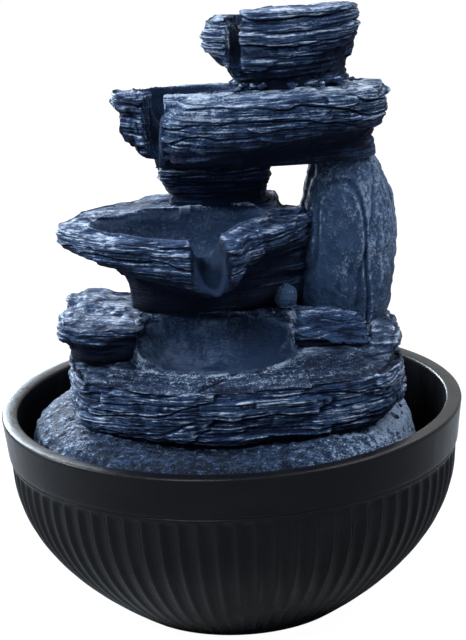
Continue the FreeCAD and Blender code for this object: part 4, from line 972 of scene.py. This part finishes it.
# %% Crown rock
crown_plan = plan_curve([(-5, 4), (-6, -7), (-2, -15), (6, -20), (14, -17), (18, -27), (28, -32),
                         (46, -31), (66, -28), (82, -20), (90, -5), (88, 10), (80, 22), (60, 30),
                         (40, 31), (18, 28), (2, 20)])
crown_foot = plan_curve([(16, 6), (16, -6), (24, -16), (44, -19), (66, -16), (76, -4), (74, 14),
                         (60, 26), (36, 27), (20, 20)])
SPRING = (22.0, 12.0)
CROWN_FOOT, SLIT_FLOOR, WELL_FLOOR, CREST = 328.0, 345.0, 361.5, 383.0
WELL_INNER, WELL_OUTER = 9.8, 16


def from_spring(x, y):
    return np.hypot(x - SPRING[0], y - SPRING[1])


def slit_floor(x, y):
    """Spout of the crown: a slit whose floor drops towards the front left."""
    middle = 22 + 0.27 * (y - 12)
    return channel(x, y, middle, 346 + 0.55 * (y + 20), 26, 5.0, 3, 12)


def crown_height(x, y):
    """Gently rising top with the spring's round well and the slit; the left lump stands lower."""
    crest = CREST + 0.03 * (x - 40) + 1.8 * noise(x / 20, y / 20, 0.6, 95)
    crest = crest - 2.5 * ramp(3, -4, x - 22 - 0.27 * (y - 12)) - 0.13 * np.maximum(0, y + 22)
    far = from_spring(x, y)
    well = WELL_FLOOR + 22 * ramp(WELL_INNER, WELL_OUTER, far) + 60 * np.clip(far - WELL_OUTER, 0, 1)
    return np.minimum(np.minimum(crest, well), np.maximum(slit_floor(x, y), SLIT_FLOOR))


def crown_worn(x, y, z):
    """Smooth in the well and the slit."""
    slit = ramp(0, 5, 372 - slit_floor(x, y)) * (y < 12)
    return np.maximum(ramp(17, 14, from_spring(x, y)), slit) * (z > SLIT_FLOOR - 1)


def crown_tone(x, y, z):
    """Painted light: paler than the rest, most on the left lump; painted shade in the well and the slit."""
    return 0.18 + 0.35 * ramp(20, 8, x) - 1.0 * crown_worn(x, y, z)


crown = rock("crown_rock", crown_plan, crown_foot, (36, 0), CROWN_FOOT,
             [(0, 366), (30, 362), (90, 352), (150, 354), (180, 356), (205, 353), (217, 344), (232, 345),
              (270, 346), (300, 349), (335, 362)],
             crown_height, 47, worn=crown_worn, tone=crown_tone, swell=3.2, bed=8.0, dip=(-0.04, 0.05),
             tuck=0.7, counts=(440, 22, 60, 84))
dress(crown, "top_rock", SLATE)

# %% [markdown]
# ## Broken bits
# Chips lie where castings meet: round the foot of the crown and under the edge of the base slab. A particle
# system could scatter them, but a list of places along the two feet keeps each chip resting on its stone.

# %% Chips


def loose_chips(name, places, sizes, seed):
    """Small broken stones: a ball for each place, flattened and dented by its own noise."""
    rows, columns = 9, 12
    rise = np.linspace(-0.5, 0.5, rows + 2)[1:-1, None] * np.pi
    turn = np.linspace(0, 2 * np.pi, columns, endpoint=False)
    ring = np.cos(rise)
    ball = np.stack([ring * np.cos(turn), ring * np.sin(turn), np.sin(rise) + 0 * turn], axis=-1)
    own = np.arange(len(places))[:, None, None] * 7.3
    dent = 1 + 0.55 * noise(ball[..., 0] * 1.3 + own, ball[..., 1] * 1.3, ball[..., 2] * 1.3, seed)
    points = places[:, None, None] + sizes[:, None, None, None] * ball * dent[..., None] * [1.15, 0.95, 0.75]
    ridge = np.clip(2.0 * (dent - 1.0), -1, 1)
    # Upward share, which the slate paint turns into painted highlight on the chips' tops.
    upward = np.broadcast_to(np.clip(ball[..., 2], 0, 1), ridge.shape)
    return shell_mesh(name, points, {"ridge": ridge, "upward": upward})


def chips_along(name, curve, centre, height, count, reach_out, smallest, largest, seed):
    """Chips at random places along a foot, a little way out from it, each sunk to a third of its size."""
    draw = np.random.default_rng(seed)
    at = curve[draw.integers(0, len(curve), count)]
    out = at - centre
    at = at + out / np.linalg.norm(out, axis=1, keepdims=True) * draw.uniform(-1.0, reach_out, (count, 1))
    sizes = draw.uniform(smallest, largest, count)
    z = height(at[:, 0], at[:, 1]) + 0.3 * sizes
    return loose_chips(name, np.column_stack([at, z]), sizes, seed)


crown_chips = chips_along("crown_chips", crown_foot, (46, 4), upper_height, 60, 7.0, 0.9, 3.4, 131)
dress(crown_chips, None, SLATE)
slab_chips = chips_along("slab_chips", base_foot, (5, -4), lambda x, y: SLAB_FOOT + 1 + 0 * x, 130, 9.0,
                         0.8, 2.3, 133)
dress(slab_chips, None, SLATE)

# %% [markdown]
# ## Standing boulder and cobble
# Water-worn stones: smooth, egg-like, with a mottled skin under a thin web of pale cracks. A picture of stone
# would stretch over them, so the skin is a group of noises and cells of its own.

# %% Worn stone skin


def make_stone_skin():
    """Mottled slate: dark and mid blue in clouds, a pale film in patches, and a broken web of cracks along
    the borders of two sizes of Voronoi cells. The ridge value also shifts the base between dark and mid blue,
    so the painted light and shade that a stone's tone puts in it show."""
    n, (ridge,) = new_group("stone_skin", ("Ridge",))
    clouds = n.noise(22.0, (1, 1, 0.7), 6.0, 0.62)
    patch = n.noise(75.0, (1, 1, 0.6), 7.0, 0.72)
    tooth = n.noise(560.0, (1, 1, 1), 5.0, 0.7)
    crack = n.texture("Voronoi", 62.0, (1, 1, 0.5), feature="DISTANCE_TO_EDGE").outputs["Distance"]
    vein = n.texture("Voronoi", 340.0, (1, 1, 0.6), feature="DISTANCE_TO_EDGE").outputs["Distance"]
    lines = n.math("MAXIMUM", n.times(n.curve(crack, 0.03, 0.0), 0.6), n.times(n.curve(vein, 0.13, 0.0), 0.8))
    web = n.times(lines, n.curve(n.blend((patch, 1.0), (tooth, 2.0), (ridge, 0.25)), 0.0, 0.4))
    film = n.blend((patch, 2.4), (tooth, 2.4), (ridge, 0.8), (web, 0.5))
    shade = n.blend((clouds, 1.0), (ridge, 0.22))
    colour = n.mix(n.curve(shade, -0.3, 0.22), (0.006, 0.016, 0.042), (0.025, 0.052, 0.11))
    colour = n.mix(n.curve(film, 0.25, 1.0), colour, (0.16, 0.22, 0.33))
    colour = n.mix(web, colour, (0.24, 0.31, 0.43))
    height = n.blend((patch, 0.8), (tooth, 0.45), (web, 0.35))
    return end_group(n, Color=colour, Roughness=n.curve(film, -0.5, 0.6, 0.42, 0.6), Height=height)


STONE = painted("worn_stone", make_stone_skin(), 0.12, 0.0036, 1.0)
print("stone skin made")

# %% [markdown]
# These stones have no beds, so they are drawn from edges over the height: left, right and depth. A subdivided
# cube could be pulled into shape, but edges can be measured and set.

# %% Boulder and cobble


def worn_stone(name, heights, left, right, depth, y, power, seed, lumps, fold=None, tone=None,
               counts=(300, 220)):
    """Closed stone: left edge, right edge and depth are read smoothly over the height, and the plan at each
    height is a rounded block between them. Slow noise swells and dents it along its surface, smaller noise
    knaps it, and a fold, if given, cuts into it; a tone, if given, is added to the ridge value as painted
    light and shade."""
    columns, rows = counts
    z = np.linspace(heights[0], heights[-1], rows)
    span = rows // 10
    weights = np.hanning(2 * span + 3)[1:-1]

    def smooth(values):
        padded = np.pad(np.interp(z, heights, values), span, mode="edge")
        return (np.convolve(padded, weights, "valid") / weights.sum())[:, None]

    turn = np.linspace(0, 2 * np.pi, columns, endpoint=False)
    block = (np.abs(np.cos(turn)) ** power + np.abs(np.sin(turn)) ** power) ** (-1 / power)
    low, high, deep = smooth(left), smooth(right), smooth(depth)
    x = (low + high) / 2 + (high - low) / 2 * block * np.cos(turn)
    y = y + deep / 2 * block * np.sin(turn)
    z = z[:, None] + 0 * x
    points = np.stack([x, y, z], axis=-1)
    relief = lumps * cloud(x, y, z, 40, seed) - 0.55 * lumps * np.abs(cloud(x, y, z * 0.6, 16, seed + 5, 3))
    relief = relief + 0.3 * lumps * cloud(x, y, z * 0.7, 6, seed + 9, 3)
    seams = ramp(0.16, 0.0, np.abs(noise(x / 24, y / 24, z / 60, seed + 13)))
    relief = relief - 0.5 * lumps * seams
    if fold:
        relief = relief - fold(x, y, z)
    s = np.linspace(0, 1, rows)[:, None]
    relief = relief * ramp(0, 0.03, s) * ramp(1, 0.97, s)
    points = points + grid_normals(points) * relief[..., None]
    ridge = edge_height(points)
    return shell_mesh(name, points, {"ridge": ridge + tone(x, y, z) if tone else ridge})


def boulder_fold(x, y, z):
    """Crease down the right of the front, with the stone beyond it standing a little lower."""
    side = x - 84 - 0.13 * (z - 195) - 5.0 * noise(z / 30, 0.3, 0.7, 53)
    return ramp(17, 8, y) * (1.6 * np.exp(-(side / 1.8) ** 2) + 1.5 * ramp(-1, 3, side))


def boulder_painted_light(x, y, z):
    """Painted light towards the right and near the top, painted shade at the left and at the foot."""
    return 0.55 * ramp(78, 104, x) - 0.5 * ramp(64, 48, x) - 0.5 * ramp(222, 196, z) + 0.2 * ramp(235, 262, z)


BOULDER_HEIGHTS = [SHELF_TOP, 190, 210, 230, 245, 262, 276, 288]
BOULDER_LEFT = [45, 41.5, 41.5, 43, 47, 51, 54, 58]
BOULDER_RIGHT = [99, 103, 107, 109.5, 109, 106, 101, 93]
BOULDER_DEPTH = [50, 55, 58, 60, 60, 57, 52, 44]
boulder = worn_stone("boulder_stone", BOULDER_HEIGHTS, BOULDER_LEFT, BOULDER_RIGHT, BOULDER_DEPTH, 17, 2.25,
                     51, 3.6, boulder_fold, boulder_painted_light)
dress(boulder, "standing_boulder", STONE)
pebble_low, pebble_high = (np.array(corner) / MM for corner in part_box("pebble"))
pebble_mid, pebble_size = (pebble_low + pebble_high) / 2, pebble_high - pebble_low
PEBBLE_LEVELS = np.array([0, 0.2, 0.45, 0.7, 0.88, 1.0])
PEBBLE_SHARES = np.array([0.72, 0.93, 1.0, 0.88, 0.6, 0.15])
cobble = worn_stone("cobble", list(pebble_low[2] + pebble_size[2] * PEBBLE_LEVELS),
                    pebble_mid[0] - pebble_size[0] / 2 * PEBBLE_SHARES,
                    pebble_mid[0] + pebble_size[0] / 2 * PEBBLE_SHARES,
                    pebble_size[1] * PEBBLE_SHARES, pebble_mid[1], 2.1, 57, 1.6, counts=(120, 90))
dress(cobble, "pebble", STONE)

# %% [markdown]
# ## Gravel shoulder
# The island under the rocks is coated with coarse chips. Its legs and arches stay as the CAD solid; this
# crust lies over its top and shoulder, down to where the water would stand. Thousands of scattered chips
# would look the same from here and weigh far more than a skin with chips in its relief and its paint.

# %% Gravel crust


def make_rubble():
    """Chips: each cell of a Voronoi pattern gets its own shade, dark gaps run between cells, and the height
    rises to the middle of each chip. The ridge value lightens and darkens the chips, and brings in the
    crust's painted light."""
    n, (ridge,) = new_group("rubble", ("Ridge",))
    chip = n.texture("Voronoi", 430.0, (1, 1, 1.6), Randomness=1.0)
    gap = n.texture("Voronoi", 430.0, (1, 1, 1.6), feature="DISTANCE_TO_EDGE", Randomness=1.0)
    gap = gap.outputs["Distance"]
    tooth = n.noise(700.0, (1, 1, 1), 5.0, 0.7)
    patch = n.noise(40.0, (1, 1, 1), 4.0, 0.55)
    shade = n.add("SeparateColor")
    n.feed(shade.inputs[0], chip.outputs["Color"])
    tone = n.blend((shade.outputs[0], 0.3), (tooth, 3.0), (patch, 1.6), (ridge, 0.9))
    colour = n.mix(n.curve(tone, -0.3, 0.4), (0.002, 0.0045, 0.011), (0.02, 0.038, 0.08))
    colour = n.mix(n.curve(tone, 0.4, 1.25), colour, (0.24, 0.31, 0.43))
    colour = n.mix(n.times(n.curve(gap, 0.05, 0.0), 0.4), colour, (0.0015, 0.003, 0.007))
    height = n.blend((n.curve(gap, 0.0, 0.2), 0.7), (tooth, 0.7), (shade.outputs[1], 0.5))
    return end_group(n, Color=colour, Roughness=n.curve(tone, -0.3, 1.0, 0.65, 0.45), Height=height)


CRUST_CENTRE = (-6, -3)
CRUST_REACH = (120.5, 119.5)


def gravel_crust():
    """Skin over the island: the radius goes out over the top, bends at the shoulder and comes back under it.
    Chips are cloud noise of a few millimetres, folded so that they have sharp crests."""
    columns, rows = 600, 120
    turn = np.linspace(0, 2 * np.pi, columns, endpoint=False)
    s = np.linspace(0, 1, rows)[:, None]
    out = np.interp(s, [0, 0.6, 0.72, 0.82, 0.92, 1.0], [0.30, 0.915, 0.962, 0.985, 1.0, 0.975])
    height = np.interp(s, [0, 0.3, 0.6, 0.72, 0.82, 0.92, 1.0], [128, 128, 127, 123, 114, 104, 94])
    height = height + 7 * ramp(0.95, 0.8, out) * np.cos(turn) ** 2
    x = CRUST_CENTRE[0] + CRUST_REACH[0] * out * np.cos(turn)
    y = CRUST_CENTRE[1] + CRUST_REACH[1] * out * np.sin(turn)
    points = np.stack([x, y, height + 0 * x], axis=-1)[::-1]
    x, y, z = points[..., 0], points[..., 1], points[..., 2]
    chips = 1.0 - 2.2 * np.abs(cloud(x, y, z, 10, 107, 2))
    relief = 0.5 + 1.6 * cloud(x, y, z, 26, 103) + 0.5 * chips + 1.0 * cloud(x, y, z, 5, 111, 4)
    # Painted light: the left and right shoulders are painted paler, the right one most, and the front and
    # back a little darker.
    ridge = np.clip((relief - soften(relief, 10)) / 0.7, -1, 1) + 0.6 * np.cos(turn) ** 2
    ridge = ridge + 0.9 * np.maximum(0, np.cos(turn)) - 0.35
    return shell_mesh("gravel_crust", points + grid_normals(points) * relief[..., None], {"ridge": ridge})


RUBBLE_PAINT = painted("rubble_paint", make_rubble(), 0.1, 0.002, 0.8)
dress(gravel_crust(), None, RUBBLE_PAINT)

# %% [markdown]
# ## Fluted bowl
# A cast bowl with a plain band, a fine bead and flutes that narrow towards the foot. It is one surface: the
# radius follows the section, and the flutes are a scallop whose depth fades in under the bead. The CAD solid
# has the same flutes in a few straight stages; this surface carries them smoothly.

# %% Bowl
FLUTE_TOP = 104.0
FLUTES = 76
FOOT_ROWS, FLUTE_ROWS, INSIDE_ROWS = 6, 46, 40
FOOT_UNDER, BOWL_FLOOR = 1.5, 7.0
OUTER_RADIUS, OUTER_RUN = 140.6, 70.6
INNER_RADIUS, INNER_RUN = 134.25, 69.25
WALL_CURVE, FLUTE_DEPTH = 2.2, 2.3


def bowl_section():
    """Outline from the middle of the foot, up the flutes, over the bead, band and rim, and down inside."""
    z = np.linspace(FOOT_UNDER, FLUTE_TOP - 0.6, FLUTE_ROWS)
    down = 1 - (z - FOOT_UNDER) / (FLUTE_TOP - FOOT_UNDER)
    outer = np.stack([OUTER_RADIUS - OUTER_RUN * down ** WALL_CURVE, z], -1)
    foot = np.stack([np.linspace(4, 68, FOOT_ROWS), np.full(FOOT_ROWS, FOOT_UNDER)], -1)
    upper = np.array([(140.7, 104.2), (141.2, 104.7), (141.35, 105.3), (141.2, 105.9), (140.8, 106.3),
                      (140.75, 106.7), (141.6, 106.9), (142.0, 107.4), (142.4, 110), (143.2, 118),
                      (144.2, 126), (144.6, 129.8), (144.85, 131.3), (144.6, 132.2), (144.0, 132.8),
                      (143.1, 133.0), (140.0, 133.0), (137.2, 133.0), (136.2, 132.85), (135.55, 132.4),
                      (135.2, 131.7), (135.0, 130.6), (134.7, 122), (134.4, 112)])
    z = np.linspace(FLUTE_TOP, BOWL_FLOOR, INSIDE_ROWS)
    down = 1 - (z - BOWL_FLOOR) / (FLUTE_TOP - BOWL_FLOOR)
    inner = np.stack([INNER_RADIUS - INNER_RUN * down ** WALL_CURVE, z], -1)
    floor = np.stack([np.linspace(63, 4, FOOT_ROWS), np.full(FOOT_ROWS, BOWL_FLOOR)], -1)
    return np.vstack([foot, outer, upper, inner, floor])


def bowl_surface():
    """Section turned about the upright, with a scallop on the outside between foot and bead: hollow flutes
    parted by narrow rounded ridges."""
    section = bowl_section()
    columns = FLUTES * 10
    turn = np.arange(columns) * 2 * np.pi / columns
    scallop = 1 - (1 - np.sin(turn * FLUTES / 2) ** 2) ** 2.2
    r, z = section[:, :1], section[:, 1:]
    row = np.arange(len(section))[:, None]
    outside = (row >= FOOT_ROWS) & (row < FOOT_ROWS + FLUTE_ROWS)
    depth = FLUTE_DEPTH * r / 140 * ramp(FLUTE_TOP + 0.4, FLUTE_TOP - 3.5, z) * ramp(1.2, 6, z)
    radius = r - outside * depth * scallop
    points = np.stack([radius * np.cos(turn), radius * np.sin(turn), z + 0 * radius], axis=-1)
    return shell_mesh("fluted_bowl", points, {"recess": outside * scallop + 0 * radius})


def bowl_finish():
    """Satin black resin: a slow cloud of colour, spray grain in bump and gloss, some dust in the flutes."""
    material, n, shader = new_material("bowl_satin_black", Specular_IOR_Level=0.1)
    clouds = n.noise(14.0, (1, 1, 2.0))
    grain = n.noise(700.0, (1, 1, 1), 3.0)
    smear = n.noise(60.0, (1, 1, 0.25), 5.0, 0.65)
    colour = n.mix(n.curve(clouds, -0.15, 0.2), (0.0024, 0.0026, 0.0036), (0.0046, 0.0046, 0.0056))
    dust = n.times(n.attribute("recess"), n.curve(smear, -0.1, 0.25))
    colour = n.mix(n.times(dust, 0.35), colour, (0.012, 0.0115, 0.0125))
    n.wire(shader, Base_Color=colour, Roughness=n.curve(smear, -0.2, 0.25, 0.24, 0.4))
    n.bump(shader, grain, 0.0006, 0.25)
    return material


dress(bowl_surface(), "bowl", bowl_finish(), "bowl_and_pump")

# %% [markdown]
# ## Pump, hose and small parts
# These CAD solids already have the right shape, so they stay and get finishes of their own: grained
# mouldings, rubber, stacked steel sheets, wound wire, ceramic, ferrite and clear silicone.

# %% Finishes of the small parts


def moulding(name, dark, light, roughness, grain, depth, **sockets):
    """Moulded part: two close shades in clouds, a fine grain in bump and gloss."""
    material, n, shader = new_material(name, **sockets)
    clouds = n.noise(45.0)
    n.wire(shader, Base_Color=n.mix(n.curve(clouds, -0.2, 0.2), dark, light),
           Roughness=n.curve(clouds, -0.2, 0.2, roughness - 0.06, roughness + 0.08))
    n.bump(shader, n.noise(grain, (1, 1, 1), 4.0), depth, 0.4)
    return material


def banded(name, dark, light, pitch, stretch, metallic, roughness):
    """Stacked sheets or wound wire: fine bands along one axis, with a little noise in their shade."""
    material, n, shader = new_material(name, Metallic=metallic, Roughness=roughness)
    bands = n.texture("Wave", 1.0 / pitch, stretch, bands_direction="X", Distortion=0.4).outputs["Fac"]
    tone = n.blend((bands, 0.8), (n.noise(120.0), 0.7))
    n.wire(shader, Base_Color=n.mix(n.curve(tone, 0.0, 0.8), dark, light))
    n.bump(shader, bands, 0.0003, 0.6)
    return material


RUBBER = moulding("black_rubber_grain", (0.008, 0.008, 0.009), (0.02, 0.02, 0.021), 0.62, 900.0, 0.0004)
PLASTIC = moulding("pump_plastic_grain", (0.009, 0.0095, 0.011), (0.017, 0.018, 0.02), 0.42, 1400.0, 0.0003)
WHITE = moulding("white_plastic_grain", (0.7, 0.7, 0.68), (0.8, 0.8, 0.79), 0.38, 1400.0, 0.0002)
CERAMIC = moulding("white_ceramic_glaze", (0.78, 0.76, 0.72), (0.86, 0.85, 0.83), 0.16, 600.0, 0.0001)
FERRITE = moulding("ferrite_grain", (0.022, 0.022, 0.024), (0.05, 0.05, 0.053), 0.5, 1200.0, 0.0004,
                   Metallic=0.3)
STEEL = banded("core_sheets", (0.2, 0.2, 0.21), (0.5, 0.5, 0.52), 0.0032, (0, 1, 0), 1.0, 0.35)
COPPER = banded("wound_copper", (0.28, 0.09, 0.04), (0.72, 0.32, 0.16), 0.0032, (0, 0, 1), 0.9, 0.32)
SILICONE = moulding("clear_silicone_skin", (0.75, 0.8, 0.82), (0.85, 0.88, 0.9), 0.22, 300.0, 0.0002,
                    Transmission_Weight=0.7)
FINISHES = {
    RUBBER: ["bowl_feet", "cord_grommet", "pump_cord_gland", "shaft_bushes", "volute_seal", "suction_feet",
             "spout_collar"],
    PLASTIC: ["pump_housing", "pump_rear_cap", "pump_volute", "intake_cover", "flow_regulator"],
    WHITE: ["impeller"],
    CERAMIC: ["pump_shaft"],
    FERRITE: ["rotor_magnet"],
    STEEL: ["stator_core"],
    COPPER: ["stator_coil"],
    SILICONE: ["riser_tube"],
    RUBBLE_PAINT: ["base_mound"],
}
for finish, names in FINISHES.items():
    for node in names:
        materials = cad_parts[node].data.materials
        materials.clear()
        materials.append(finish)
print("small parts finished:", sum(len(names) for names in FINISHES.values()))

# %% [markdown]
# ## Filter foam
# The solid behind the strainer is a plain block; real filter foam is open-celled, with soft edges. The same
# surface that draws the worn stones draws it, with pores pressed in.

# %% Filter foam


def foam_pores(x, y, z):
    """Pores: pits where fine noise runs high, deepest in their middle."""
    return 0.9 * ramp(0.05, 0.7, cloud(x, y, z, 2.4, 121, 2))


foam_low, foam_high = (np.array(corner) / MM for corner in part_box("intake_sponge"))
FOAM_LEVELS = np.array([0, 0.06, 0.2, 0.8, 0.94, 1.0])
SOFT_EDGE = np.array([1.2, 0.5, 0.4, 0.4, 0.5, 1.2])
foam_heights = foam_low[2] + 0.4 + (foam_high[2] - foam_low[2] - 0.8) * FOAM_LEVELS
foam = worn_stone("filter_foam", list(foam_heights), foam_low[0] + SOFT_EDGE, foam_high[0] - SOFT_EDGE,
                  foam_high[1] - foam_low[1] - 2 * SOFT_EDGE, (foam_low[1] + foam_high[1]) / 2, 9.0, 123, 0.2,
                  foam_pores, counts=(280, 130))
FOAM = moulding("filter_foam_pores", (0.012, 0.012, 0.013), (0.04, 0.04, 0.042), 0.85, 420.0, 0.0025)
dress(foam, "intake_sponge", FOAM, "intake_cover")
